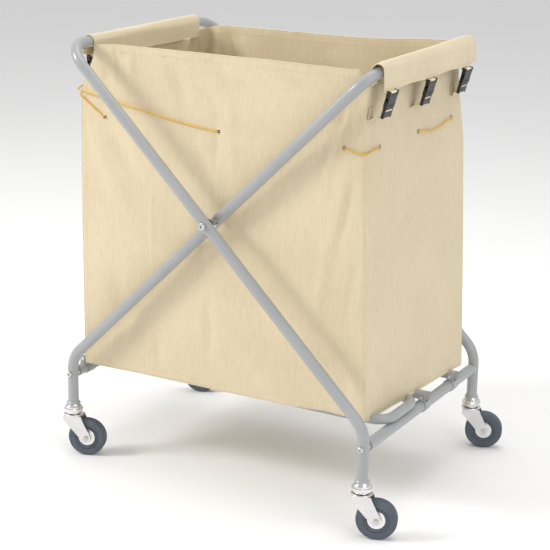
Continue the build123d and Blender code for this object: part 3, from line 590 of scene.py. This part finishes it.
def wall_bottom(wall, along):
    if wall == "front":
        return np.interp(along, *zip(*FRONT_BOTTOM))
    if wall == "back":
        return np.interp(along, *zip(*BACK_BOTTOM))
    return 0.2315 + 0.003 * np.sin(along * 9)


ROWS = 150
WALL_COLUMNS = {"front": 168, "right": 96, "back": 120, "left": 96}
TURN_COLUMNS = 5


def bag_wall_points():
    """The bag's outer face as points[row, column], once round its four walls and rounded corners."""
    ring = (
        ("front", FRONT, LEFT, RIGHT),
        ("right", RIGHT, FRONT, BACK),
        ("back", BACK, RIGHT, LEFT),
        ("left", LEFT, BACK, FRONT),
    )
    shares = np.linspace(0, 1, ROWS)[:, None]
    blocks = []
    for wall, s, first, last in ring:
        lying = wall in ("front", "back")
        count = WALL_COLUMNS[wall]
        t = np.linspace(0, 1, count)[None, :]
        ends = []
        for end in (first, last):
            corner = (end, s) if lying else (s, end)
            ends.append(lambda z, corner=corner: corner_x(*corner, z))
        if lying:
            rough = first * 0.35 + (last - first) * 0.35 * t
        else:
            rough = first * BAG_Y + (last - first) * BAG_Y * t
        z = wall_bottom(wall, rough) + (wall_top(wall, rough) - wall_bottom(wall, rough)) * shares
        if lying:
            start, stop = first * (ends[0](z) - CORNER_R), last * (ends[1](z) - CORNER_R)
            along = start + (stop - start) * t
            y = np.full_like(z, BAG_Y) + relief(wall, along, z) * np.minimum(1, np.minimum(t, 1 - t) * 18)
            block = np.stack([along, s * y, z], axis=-1)
        else:
            start, stop = first * (BAG_Y - CORNER_R), last * (BAG_Y - CORNER_R)
            along = start + (stop - start) * t + 0 * z
            share = (along * (1 if first < last else -1) + BAG_Y) / (2 * BAG_Y)
            plain = ends[0](z) * (1 - share) + ends[1](z) * share
            x = plain + relief(wall, along, z) * np.minimum(1, np.minimum(t, 1 - t) * 18)
            block = np.stack([s * x, along, z], axis=-1)
        blocks.append(block)
    corners = ((RIGHT, FRONT), (RIGHT, BACK), (LEFT, BACK), (LEFT, FRONT))
    columns = []
    for number, block in enumerate(blocks):
        following = blocks[(number + 1) % 4]
        side, front = corners[number]
        columns.append(block)
        before, after = block[:, -1], following[:, 0]
        z = (before[:, 2] + after[:, 2]) / 2
        corner = np.stack([side * corner_x(side, front, z), np.full_like(z, front * BAG_Y), z], axis=-1)
        for k in range(1, TURN_COLUMNS):
            t = k / TURN_COLUMNS
            columns.append(((1 - t) ** 2 * before + 2 * t * (1 - t) * corner + t**2 * after)[:, None, :])
    return np.concatenate(columns, axis=1)


def run_lengths(points, closed):
    """Distances along the rows of points, in metres, for UVs."""
    shown = np.concatenate([points, points[:, :1]], axis=1) if closed else points
    middle = shown[len(shown) // 2]
    across = distances(middle)
    uv = np.zeros((points.shape[0], len(across), 2))
    uv[..., 0] = across[None, :]
    uv[..., 1] = shown[..., 2]
    return uv


wall_points = bag_wall_points()
wall_mesh = grid_mesh("bag_walls", wall_points, run_lengths(wall_points, True), closed=True)
wall_mesh = thickened(wall_mesh, CANVAS_THICK, -1.0)

FLOOR_RINGS = 26


def bag_floor_points():
    """The bag's bottom: rings from the walls' lower edge inwards, sagging between the frame's bars."""
    edge = wall_points[0]
    middle = np.array((0.004, 0.0, 0.0))
    rings = []
    for k in range(FLOOR_RINGS):
        inward = k / (FLOOR_RINGS - 1)
        ring = edge * (1 - inward) + middle * inward
        turned = 1 - math.exp(-((inward * 42) ** 1.2))
        rest_z = 0.2405 - 0.0025 * np.cos(ring[:, 0] * 14) * np.cos(ring[:, 1] * 9)
        ring[:, 2] = edge[:, 2] * (1 - turned) + rest_z * turned
        rings.append(ring)
    return np.array(rings)


floor_points = bag_floor_points()
floor_uv = np.concatenate([floor_points, floor_points[:, :1]], axis=1)[..., :2]
floor_mesh = grid_mesh("bag_bottom", floor_points[::-1], floor_uv[::-1], closed=True)
floor_mesh = thickened(floor_mesh, CANVAS_THICK, -1.0, ("WELD", {"merge_threshold": 1e-5}))
put(
    "bag_canvas",
    joined("bag_canvas", [wall_mesh, floor_mesh]),
    CANVAS,
    replaced=("bag_front_panel", "bag_back_panel", "bag_side_left", "bag_side_right", "bag_floor"),
)

# ---- flaps turned over the top bars -------------------------------------------------------------
BAR_X, BAR_Z = 0.362, 0.9848
FLAP_THICK = 0.0016
BUCKLE_Y = {LEFT: (-0.17, 0.0, 0.17), RIGHT: (-0.207, -0.014, 0.184)}
# Each flap: (y, height of its top, height of its hem, slack of its outer leg), from front to back.
FLAP_STATIONS = {
    RIGHT: (
        (-0.234, 1.001, 0.9455, 0.0005),
        (-0.206, 1.0035, 0.945, 0.001),
        (-0.11, 1.005, 0.95, 0.0025),
        (-0.014, 1.007, 0.9465, 0.001),
        (0.085, 1.0095, 0.952, 0.003),
        (0.184, 1.0125, 0.949, 0.001),
        (0.218, 1.013, 0.953, 0.002),
        (0.24, 1.011, 0.958, 0.001),
    ),
    LEFT: (
        (-0.218, 1.0, 0.956, 0.001),
        (-0.17, 1.0, 0.95, 0.001),
        (-0.09, 1.0015, 0.953, 0.0025),
        (0.0, 1.0025, 0.95, 0.001),
        (0.09, 1.0045, 0.953, 0.0025),
        (0.17, 1.0055, 0.95, 0.001),
        (0.218, 1.006, 0.956, 0.001),
    ),
}
FLAP_FOOT = {RIGHT: ((0.2, 0.222), (0.949, 0.992)), LEFT: ((0.214, 0.222), (0.949, 0.975))}
FLAP_COLUMNS = 110
UV_COLUMN = 50


def flap_section(side, y, top, hem, slack):
    """One cross section of a flap, from the side panel inside the bar, over it, and down to the hem outside.

    Known fault: where the foot is above the bar's middle, the first eight points coincide, and the rim
    drawn along that edge collapses.
    """
    foot = float(np.interp(abs(y), *FLAP_FOOT[side]))
    inner, outer, rise = 0.0149, 0.0151, top - BAR_Z - FLAP_THICK / 2
    section = []
    for z in np.linspace(min(foot, BAR_Z), BAR_Z, 9)[:-1]:
        section.append((BAR_X - inner, z))
    start = math.pi - (math.asin(min(0.9, (foot - BAR_Z) / rise)) if foot > BAR_Z else 0)
    for angle in np.linspace(start, 0, 27):
        reach = inner if angle > math.pi / 2 else outer
        lifted = 0.0022 * math.sin(angle) * math.sin(y * 23 + side) * math.sin(angle * 2)
        section.append((BAR_X + (reach + lifted) * math.cos(angle), BAR_Z + rise * math.sin(angle)))
    drop = BAR_Z - hem
    for share in np.linspace(0, 1, 17)[1:]:
        lean = 0.0018 * share**0.8 + slack * math.sin(math.pi * share * 0.55)
        section.append((BAR_X + outer + lean, BAR_Z - drop * share))
    return [(side * x, y, z) for x, z in section]


def flap_mesh(side):
    stations = np.array(FLAP_STATIONS[side])
    ys = np.linspace(stations[0, 0], stations[-1, 0], FLAP_COLUMNS)
    rows = []
    for y in ys:
        top, hem, slack = (
            sum(np.interp(y + shift, stations[:, 0], stations[:, k]) for shift in (-0.008, 0, 0.008)) / 3
            for k in (1, 2, 3)
        )
        rows.append(flap_section(side, float(y), float(top), float(hem), float(slack)))
    points = np.array(rows).transpose(1, 0, 2)
    depth = np.linspace(0, 1, len(points))[:, None]
    crumple = 0.0007 * rumple(points[..., 1], depth * 0.11, 0.03, 23.0 + side)
    points[..., 0] += side * crumple * np.clip((depth - 0.45) * 3, 0, 1)
    points[..., 2] += np.maximum(0, crumple) * np.sin(math.pi * np.clip(depth * 1.6 - 0.3, 0, 1))
    if side == RIGHT:
        points = points[:, ::-1]
    uv = np.zeros((points.shape[0], points.shape[1], 2))
    uv[..., 0] = points[..., 1]
    uv[..., 1] = distances(points[:, UV_COLUMN])[:, None]
    return points, grid_mesh("flap", points, uv)


flap_points = {}
for side, side_name in SIDES:
    flap_points[side], sheet = flap_mesh(side)
    name = f"flap_{side_name}"
    put(f"{name}_canvas", thickened(sheet, FLAP_THICK), CANVAS, replaced=(name,))


# ---- welts and stitching ------------------------------------------------------------------------
def grid_normals(points, closed):
    """Outward unit normals of a grid of points."""
    if closed:
        across = np.roll(points, -1, axis=1) - np.roll(points, 1, axis=1)
    else:
        across = np.gradient(points, axis=1)
    normal = np.cross(across, np.gradient(points, axis=0))
    return normal / np.maximum(1e-12, np.linalg.norm(normal, axis=-1))[..., None]


def resampled(line, pitch):
    """Points on a line at an even pitch."""
    run = distances(line)
    places = np.arange(pitch, run[-1] - pitch, pitch)
    return np.stack([np.interp(places, run, line[:, k]) for k in range(line.shape[1])], axis=1)


STITCH_PITCH = 0.0046
# A stitch's rings: (share of its half length, radius, height above the cloth).
STITCH_RINGS = ((-1, 0.00018, -0.0001), (-0.6, 0.00038, 0.0002), (0.6, 0.00038, 0.0002), (1, 0.00018, -0.0001))


def stitches(rows):
    """One mesh of short raised threads along rows of (line, normals)."""
    sides, verts, faces = 6, [], []
    for line, normals in rows:
        both = resampled(np.concatenate([line, normals], axis=1), STITCH_PITCH)
        spots, ups = both[:, :3], both[:, 3:]
        along = np.gradient(spots, axis=0)
        along /= np.linalg.norm(along, axis=1)[:, None]
        for spot, up, way in zip(spots, ups, along):
            aside = np.cross(way, up)
            first = len(verts)
            for share, radius, lift in STITCH_RINGS:
                centre = spot + way * share * STITCH_PITCH * 0.34 + up * lift
                for k in range(sides):
                    angle = 2 * math.pi * k / sides
                    verts.append(tuple(centre + radius * (math.cos(angle) * up + math.sin(angle) * aside)))
            for ring in range(3):
                for k in range(sides):
                    a, b = first + ring * sides + k, first + ring * sides + (k + 1) % sides
                    faces.append((a, b, b + sides, a + sides))
            faces.append(tuple(first + k for k in reversed(range(sides))))
            faces.append(tuple(first + 3 * sides + k for k in range(sides)))
    mesh = bpy.data.meshes.new("stitches")
    mesh.from_pydata(verts, [], faces)
    return mesh


wall_normals = grid_normals(wall_points, True)
starts, column = {}, 0
for wall in WALL_COLUMNS:
    starts[wall] = column
    column += WALL_COLUMNS[wall] + TURN_COLUMNS - 1


def wall_row(wall, row, trim=3):
    picked = slice(starts[wall] + trim, starts[wall] + WALL_COLUMNS[wall] - trim)
    return wall_points[row, picked], wall_normals[row, picked]


def wall_column(index):
    return wall_points[2:-4, index], wall_normals[2:-4, index]


thread_rows = [wall_row("front", -4), wall_row("back", -4)]
for wall in WALL_COLUMNS:
    thread_rows.append(wall_column(starts[wall] + 1))
    thread_rows.append(wall_column(starts[wall] + WALL_COLUMNS[wall] - 2))
    thread_rows.append(wall_row(wall, 3))
inner_hems = [
    (line - normal * (CANVAS_THICK + 0.0001), -normal) for line, normal in (wall_row("front", -4), wall_row("back", -4))
]
put("bag_stitching", stitches(thread_rows + inner_hems), THREAD)
for side, side_name in SIDES:
    normals = grid_normals(flap_points[side], False)
    hem = (flap_points[side][-5] + normals[-5] * FLAP_THICK / 2, normals[-5])
    put(f"flap_{side_name}_stitching", stitches([hem]), THREAD)
    rims = [tube_mesh("rim", flap_points[side][-1], 0.00125, 8)]
    rims += [tube_mesh("rim", flap_points[side][:, end], 0.00115, 8) for end in (0, -1)]
    put(f"flap_{side_name}_rim", joined("flap_rim", rims), CANVAS)

welts = []
for wall in WALL_COLUMNS:
    corner = starts[wall] + WALL_COLUMNS[wall] + 1
    line = (wall_points[:, corner] + wall_points[:, corner + 1]) / 2
    welts.append(tube_mesh("welt", line[:-2] + 0.0004 * wall_normals[:-2, corner], 0.0013, 8))
for wall in ("front", "back"):
    line, normal = wall_row(wall, -1, 0)
    welts.append(tube_mesh("rim", line - normal * CANVAS_THICK / 2, 0.00135, 8))
ring = np.concatenate([wall_points[0], wall_points[0, :2]])
welts.append(tube_mesh("lower_welt", ring + np.array((0, 0, 0.0004)), 0.0014, 8))
put("bag_welts", joined("bag_welts", welts), CANVAS)

# ---- eyelets ------------------------------------------------------------------------------------
EYELETS = {
    "front": ((-0.318, 0.819), (-0.018, 0.819), (0.288, 0.819)),
    "back": ((-0.31, 0.822), (-0.01, 0.822), (0.295, 0.822)),
    "left": ((-0.175, 0.822), (0.0, 0.822), (0.17, 0.822)),
    "right": ((-0.16, 0.816), (0.01, 0.824), (0.17, 0.832)),
}


def wall_frame(wall, along, z):
    """A point on a wall and its outward direction."""
    step = 0.004
    here = np.array(wall_point(wall, along, z))
    sideways = np.array(wall_point(wall, along + step, z)) - np.array(wall_point(wall, along - step, z))
    upwards = np.array(wall_point(wall, along, z + step)) - np.array(wall_point(wall, along, z - step))
    normal = np.cross(sideways, upwards)
    normal /= np.linalg.norm(normal)
    outward = np.array({"front": (0, -1, 0), "back": (0, 1, 0), "left": (-1, 0, 0), "right": (1, 0, 0)}[wall])
    return here, normal if np.dot(normal, outward) > 0 else -normal


def lathe_mesh(name, profile, centre, axis, sides=32):
    """A ring turned from profile points (radius, height) about an axis."""
    axis = Vector(axis).normalized()
    turn = axis.to_track_quat("Z", "Y").to_matrix()
    points = np.zeros((len(profile), sides, 3))
    for row, (radius, height) in enumerate(profile):
        for k in range(sides):
            angle = 2 * math.pi * k / sides
            spoke = Vector((radius * math.cos(angle), radius * math.sin(angle), height))
            points[row, k] = Vector(centre) + turn @ spoke
    uv = grid_uv(np.linspace(0, 0.03, sides + 1), np.linspace(0, 0.01, len(profile)))
    return grid_mesh(name, points, uv, closed=True)


RING_PROFILE = (
    (0.0036, -0.0028), (0.0036, 0.0004), (0.004, 0.0009), (0.0048, 0.0012),
    (0.0057, 0.001), (0.0064, 0.0004), (0.0066, -0.0002),
)
INNER_PROFILE = tuple((radius, -CANVAS_THICK - height) for radius, height in reversed(RING_PROFILE[1:]))
# A dark disc fills each eyelet's opening, on the outer and on the inner face of the canvas: painted shade standing for
# the dark gap round the cord.
HOLE_SHADE_PROFILE = ((0.004, 0.00035), (0.002, 0.00022), (0.0001, 0.0002))
rings, hole_shades = [], []
for wall, along, height in [(wall, *spot) for wall, spots in EYELETS.items() for spot in spots]:
    place, outward = wall_frame(wall, along, height)
    rings.append(lathe_mesh("ring", RING_PROFILE[::-1], place, outward))
    rings.append(lathe_mesh("ring", INNER_PROFILE[::-1], place, outward))
    hole_shades.append(lathe_mesh("hole_shade", HOLE_SHADE_PROFILE, place, outward))
    inside = [(radius, -CANVAS_THICK - height) for radius, height in reversed(HOLE_SHADE_PROFILE)]
    hole_shades.append(lathe_mesh("hole_shade", inside, place, outward))
put("eyelet_rings", joined("eyelet_rings", rings), BRASS, replaced=("eyelets",))
put("eyelet_hole_shades", joined("eyelet_hole_shades", hole_shades), HOLE_SHADE)

# ---- drawcord -----------------------------------------------------------------------------------
CORD_DIAMETER = 0.004
CORD_OUT, CORD_IN = 0.004, -0.0066
EYELET_RUN = 0.024


def through(wall, number, outwards, before=None, after=None):
    """Route points through an eyelet, with a point on the run before it and after it where there is a long one."""
    along, height = EYELETS[wall][number]
    place, outward = wall_frame(wall, along, height)
    inner, outer = place + outward * CORD_IN, place + outward * CORD_OUT
    points = [inner, outer] if outwards else [outer, inner]
    if before is not None:
        level = CORD_IN if outwards else CORD_OUT
        points.insert(0, wall_point(wall, along + before * EYELET_RUN, height - 0.001, level))
    if after is not None:
        level = CORD_OUT if outwards else CORD_IN
        points.append(wall_point(wall, along + after * EYELET_RUN, height - 0.001, level))
    return points


def round_corner(side, front, out, height, sideways=False, drop=0.0006, turn=0.003):
    """Two route points round an upright corner of the bag."""
    x, y = side * (corner_x(side, front, height) + out), front * (BAG_Y + out)
    first, second = (x - side * turn, y, height), (x, y - front * turn, height - drop)
    return [second, first] if sideways else [first, second]


def sagging(wall, first, last, level, sag):
    """A route point half way between two eyelets, hanging a little below them."""
    along, height = ((a + b) / 2 for a, b in zip(EYELETS[wall][first], EYELETS[wall][last]))
    return [wall_point(wall, along, height - sag, level)]


CORD_START = (-0.3879, -0.2027, 0.8792)
CORD_END = (-0.3883, -0.2049, 0.884)
route = [CORD_START]
route += round_corner(LEFT, FRONT, 0.0036, 0.863, sideways=True)
route += through("front", 0, False)
route += round_corner(LEFT, FRONT, CORD_IN, 0.819)
route += through("left", 0, True, after=1)
route += sagging("left", 0, 1, CORD_OUT, 0.006)
route += through("left", 1, False, before=-1, after=1)
route += sagging("left", 1, 2, CORD_IN, 0.005)
route += through("left", 2, True, before=-1)
route += round_corner(LEFT, BACK, 0.0036, 0.815, sideways=True)
route += through("back", 0, False, after=1)
route += sagging("back", 0, 1, CORD_IN, 0.006)
route += through("back", 1, True, before=-1, after=1)
route += sagging("back", 1, 2, CORD_OUT, 0.006)
route += through("back", 2, False, before=-1)
route += round_corner(RIGHT, BACK, CORD_IN, 0.821)
route += through("right", 2, True, after=-1)
route += sagging("right", 1, 2, CORD_OUT, 0.01)
route += through("right", 1, False, before=1, after=-1)
route += sagging("right", 0, 1, CORD_IN, 0.005)
route += through("right", 0, True, before=1, after=-1)
route += round_corner(RIGHT, FRONT, 0.0055, 0.8105, sideways=True, drop=0, turn=0.0095)
route += through("front", 2, False, after=-1)
route += sagging("front", 1, 2, CORD_IN, 0.005)
route += through("front", 1, True, before=1)
route += [wall_point("front", -0.11, 0.8295, 0.0045), wall_point("front", -0.235, 0.85, 0.006)]
route += round_corner(LEFT, FRONT, 0.008, 0.877)
route += [CORD_END]


def nurbs_line(name, controls):
    """The points along a NURBS spline of order 3 through control points."""
    curve = bpy.data.curves.new(name, "CURVE")
    curve.dimensions = "3D"
    spline = curve.splines.new("NURBS")
    spline.points.add(len(controls) - 1)
    for point, place in zip(spline.points, controls):
        point.co = (*place, 1.0)
    spline.order_u = 3
    spline.use_endpoint_u = True
    curve.resolution_u = 14
    mesh = evaluated(curve)
    line = np.array([v.co[:] for v in mesh.vertices])
    bpy.data.meshes.remove(mesh)
    return line


def strand_points(line, pitch):
    even = resampled(line, pitch)
    return np.concatenate([line[:1], even, line[-1:]])


cord_line = nurbs_line("cord_route", route)
fine = strand_points(cord_line, 0.0016)
STRAND_R = CORD_DIAMETER / 4 + 0.0001
strands = [tube_mesh("strand", fine, STRAND_R, 7, 1 / 0.013, sign * STRAND_R * 0.92) for sign in (-1, 1)]
cord = put("drawcord_twisted", joined("drawcord_twisted", strands), CORD, replaced=("drawcord",))

KNOT_PLACE = np.array((-0.388, -0.198, 0.884))
turns = np.linspace(0, 2 * math.pi, 73)
knot_line = np.stack(
    [
        0.0012 * np.sin(3 * turns) * 1.1,
        0.00125 * (np.sin(turns) + 2 * np.sin(2 * turns)),
        0.00145 * (np.cos(turns) - 2 * np.cos(2 * turns)),
    ],
    axis=1,
)
knot_parts = [tube_mesh("knot", knot_line + KNOT_PLACE, 0.0019, 10)]
for shift, lean, length in ((0.001, -0.0012, 0.039), (0.0054, 0.0016, 0.036)):
    tail = nurbs_line(
        "tail",
        [
            KNOT_PLACE + (0, shift * 0.6, -0.003),
            KNOT_PLACE + (-0.0005, shift, -length * 0.35),
            KNOT_PLACE + (-0.0002, shift + lean, -length * 0.7),
            KNOT_PLACE + (0.0006, shift + lean * 0.4, -length),
        ],
    )
    tail_fine = strand_points(tail, 0.0014)
    knot_parts += [tube_mesh("tail", tail_fine, STRAND_R, 7, 1 / 0.013, sign * STRAND_R * 0.9) for sign in (-1, 1)]
    for k in range(7):
        angle = 2 * math.pi * k / 7
        spread = np.array((math.cos(angle), math.sin(angle), 0)) * 0.0016
        end = tail[-1]
        bends = [end + spread * 0.3, end + spread * 0.7 - (0, 0, 0.002), end + spread - (0, 0, 0.0042)]
        wisp = nurbs_line("wisp", bends)
        knot_parts.append(tube_mesh("wisp", wisp, 0.00028, 5))
knot_mesh = joined("drawcord_tied_knot", knot_parts)
knot = put("drawcord_tied_knot", knot_mesh, CORD, replaced=("drawcord_knot",))

# ---- side-release buckles -----------------------------------------------------------------------
BUCKLE_TILT = {LEFT: 0.0, RIGHT: math.radians(15)}
BUCKLE_TOP_Z = {LEFT: 0.951, RIGHT: 0.9465}
TONGUE_TOP = -0.0364
BUCKLE_ROWS = ("front", "middle", "rear")


def buckle_matrix(side, y):
    """A buckle's own frame: x across it, y up along it, z outwards, with its origin at the top edge."""
    tilt = BUCKLE_TILT[side]
    centre_x = 0.3805 + 0.0045 / math.cos(tilt) + 0.0009
    across = Vector((0, side, 0))
    out = Vector((side * math.cos(tilt), 0, -math.sin(tilt)))
    upward = out.cross(across)
    turn = Matrix((across, upward, out)).transposed().to_4x4()
    return Matrix.Translation((side * centre_x, y, BUCKLE_TOP_Z[side])) @ turn


def softened(corners, radius, steps=4):
    """A closed outline with its corners rounded."""
    outline = []
    for k, corner in enumerate(corners):
        corner = Vector(corner)
        before, after = Vector(corners[k - 1]), Vector(corners[(k + 1) % len(corners)])
        reach = min(radius, (before - corner).length * 0.48, (after - corner).length * 0.48)
        start = corner + (before - corner).normalized() * reach
        stop = corner + (after - corner).normalized() * reach
        for n in range(steps + 1):
            t = n / steps
            outline.append((1 - t) ** 2 * start + 2 * t * (1 - t) * corner + t**2 * stop)
    return outline


def plate(outlines, low, high, matrix, bevel=0.0005):
    """A flat moulding from height low to high: the first outline filled, the others cut out, edges rounded."""
    curve = bpy.data.curves.new("plate", "CURVE")
    curve.dimensions = "2D"
    curve.fill_mode = "BOTH"
    curve.extrude = (high - low) / 2 - bevel
    curve.bevel_depth = bevel
    curve.bevel_resolution = 1
    curve.offset = -bevel
    for outline in outlines:
        spline = curve.splines.new("POLY")
        spline.points.add(len(outline) - 1)
        for point, place in zip(spline.points, outline):
            point.co = (place[0], place[1], 0, 1)
        spline.use_cyclic_u = True
    mesh = evaluated(curve)
    mesh.transform(matrix @ Matrix.Translation((0, 0, (low + high) / 2)))
    mesh.materials.clear()
    return mesh


def mirrored(half):
    """A closed outline from its right half, listed from top to bottom."""
    return list(half) + [(-x, y) for x, y in reversed(half)]


def block(x0, x1, y0, y1, radius=0.0008):
    return softened([(x0, y0), (x1, y0), (x1, y1), (x0, y1)], radius)


SOCKET_HALF = (
    (0.0157, -0.0066),
    (0.0157, 0.0),
    (0.02, 0.0),
    (0.02, -0.0105),
    (0.0184, -0.015),
    (0.0184, -0.0245),
    (0.0198, -0.029),
    (0.0192, -0.036),
)


# The socket's side walls: (near, far) across it and (low, high) along it.
SOCKET_SIDES = (
    (0.0158, 0.0199, -0.0064, -0.0002),
    (0.0166, 0.0183, -0.0156, -0.01),
    (0.0168, 0.019, -0.0358, -0.0246),
)


def socket_meshes(matrix):
    outline = softened(mirrored(SOCKET_HALF), 0.0012)
    parts = [
        plate([outline], 0.0028, 0.0045, matrix),
        plate([outline], -0.0045, -0.0028, matrix),
        plate([block(-0.0196, 0.0196, -0.0105, -0.0068)], -0.003, 0.003, matrix, 0.0002),
    ]
    for s in (-1, 1):
        for near, far, low, high in SOCKET_SIDES:
            parts.append(plate([block(s * near, s * far, low, high)], -0.003, 0.003, matrix, 0.0002))
    for y in (-0.029, -0.031, -0.033):
        ridge = [(x, y, 0.0046) for x in np.linspace(-0.0125, 0.0125, 9)]
        parts.append(tube_mesh("ridge", ridge, 0.0005, 6))
        parts[-1].transform(matrix)
    bar = [(x, -0.0036, 0) for x in np.linspace(-0.0168, 0.0168, 9)]
    parts.append(tube_mesh("bar", bar, 0.0013, 12))
    parts[-1].transform(matrix)
    return parts


def tongue_meshes(matrix):
    top = TONGUE_TOP
    half = (
        (0.0188, top),
        (0.019, top - 0.007),
        (0.0184, top - 0.014),
        (0.019, top - 0.023),
        (0.0156, top - 0.023),
        (0.0154, top - 0.0208),
    )
    slot = block(-0.0152, 0.0152, top - 0.0086, top - 0.0042, 0.001)
    prong = softened(
        [
            (0.009, top - 0.002), (0.0138, top - 0.002), (0.0138, top + 0.0075), (0.016, top + 0.01),
            (0.016, top + 0.015), (0.0128, top + 0.0195), (0.0098, top + 0.0198),
        ],
        0.001,
    )
    parts = [plate([softened(mirrored(half), 0.0012), slot], -0.0035, 0.0035, matrix, 0.0007)]
    parts.append(plate([prong], -0.0019, 0.0019, matrix, 0.0004))
    parts.append(plate([[Vector((-p.x, p.y)) for p in reversed(prong)]], -0.0019, 0.0019, matrix, 0.0004))
    parts.append(plate([block(-0.0023, 0.0023, top - 0.002, top + 0.0196)], -0.0019, 0.0019, matrix, 0.0004))
    return parts


def rounded_path(points, times=3):
    """A path with its corners cut smooth."""
    line = np.array(points, float)
    for _ in range(times):
        near, far = 0.75 * line[:-1] + 0.25 * line[1:], 0.25 * line[:-1] + 0.75 * line[1:]
        mixed = np.stack([near, far], axis=1).reshape(-1, line.shape[1])
        line = np.concatenate([line[:1], mixed, line[-1:]])
    return line


WEBBING_WIDTH = 0.0296
TAIL_WIDTH = 0.0215
# Webbing paths at a tongue: (distance below its top edge, distance outwards).
LOOP = (
    (0.0012, -0.0046), (0.0036, -0.0046), (0.0046, 0.001), (0.0056, 0.003),
    (0.0074, 0.003), (0.0082, 0.001), (0.0094, -0.0046), (0.018, -0.0048),
    (0.021, -0.002), (0.0238, -0.0012), (0.0246, -0.0046), (0.02, -0.0052),
)
TAIL = (
    (0.006, -0.0068), (0.02, -0.007), (0.0245, -0.008), (0.0258, -0.013),
)


def ribbon(side, y, path, width=WEBBING_WIDTH, thickness=0.0013):
    """Webbing along a path of (x, z) points, width across y."""
    line = rounded_path(path)
    across = np.linspace(-width / 2, width / 2, 9)
    points = np.zeros((len(line), len(across), 3))
    points[..., 0] = side * line[:, 0, None]
    points[..., 1] = y + across[None, :]
    points[..., 2] = line[:, 1, None]
    return thickened(grid_mesh("ribbon", points, grid_uv(across, distances(line))), thickness)


for side, side_name in SIDES:
    sockets, straps = [], []
    for row, y in zip(BUCKLE_ROWS, BUCKLE_Y[side]):
        matrix = buckle_matrix(side, y)
        sockets += socket_meshes(matrix)
        name = f"buckle_tongue_{side_name}_{row}"
        tongue = joined(f"{name}_moulded", tongue_meshes(matrix))
        put(f"{name}_moulded", tongue, BUCKLE, f"tongue_{side_name}_{row}", (name,))

        def at(up, out):
            placed = matrix @ Vector((0, up, out))
            return abs(placed.x), placed.z

        bar_x, bar_z = at(-0.0036, 0)
        hanger = [
            (0.3752, 0.974),
            (0.3755, bar_z + 0.007),
            (0.3762, bar_z - 0.001),
            (bar_x - 0.003, bar_z - 0.003),
            (bar_x + 0.0012, bar_z - 0.0026),
            (bar_x + 0.0026, bar_z + 0.0002),
            (bar_x + 0.0004, bar_z + 0.0027),
            (bar_x - 0.0032, bar_z + 0.001),
            (0.3786, bar_z - 0.0006),
            (0.3773, bar_z + 0.003),
            (0.3768, bar_z + 0.011),
        ]
        straps.append(ribbon(side, y, hanger))
        loop = [at(TONGUE_TOP - down, out) for down, out in LOOP]
        put(f"{name}_webbing", ribbon(side, y, loop), WEBBING, f"tongue_{side_name}_{row}")
        wall = "left" if side == LEFT else "right"
        sewn_y = y + (0.004 if y < -0.2 else 0.0)
        panel_high = abs(wall_point(wall, sewn_y, 0.905)[0]) + 0.0009
        panel_low = abs(wall_point(wall, sewn_y, 0.88)[0]) + 0.0009
        tail = [
            *(at(TONGUE_TOP - down, out) for down, out in TAIL),
            (panel_low + 0.004, 0.8825),
            (panel_low, 0.88),
            (panel_low, 0.884),
            (panel_high, 0.905),
        ]
        straps.append(ribbon(side, sewn_y, tail, TAIL_WIDTH, 0.0011))
    put(
        f"buckle_sockets_{side_name}_moulded",
        joined("sockets", sockets),
        BUCKLE,
        replaced=(f"buckle_sockets_{side_name}",),
    )
    put(
        f"buckle_webbing_{side_name}",
        joined("webbing", straps),
        WEBBING,
        replaced=(f"buckle_straps_{side_name}",),
    )

# ---- the scene brought up to date ---------------------------------------------------------------
bpy.context.view_layer.update()
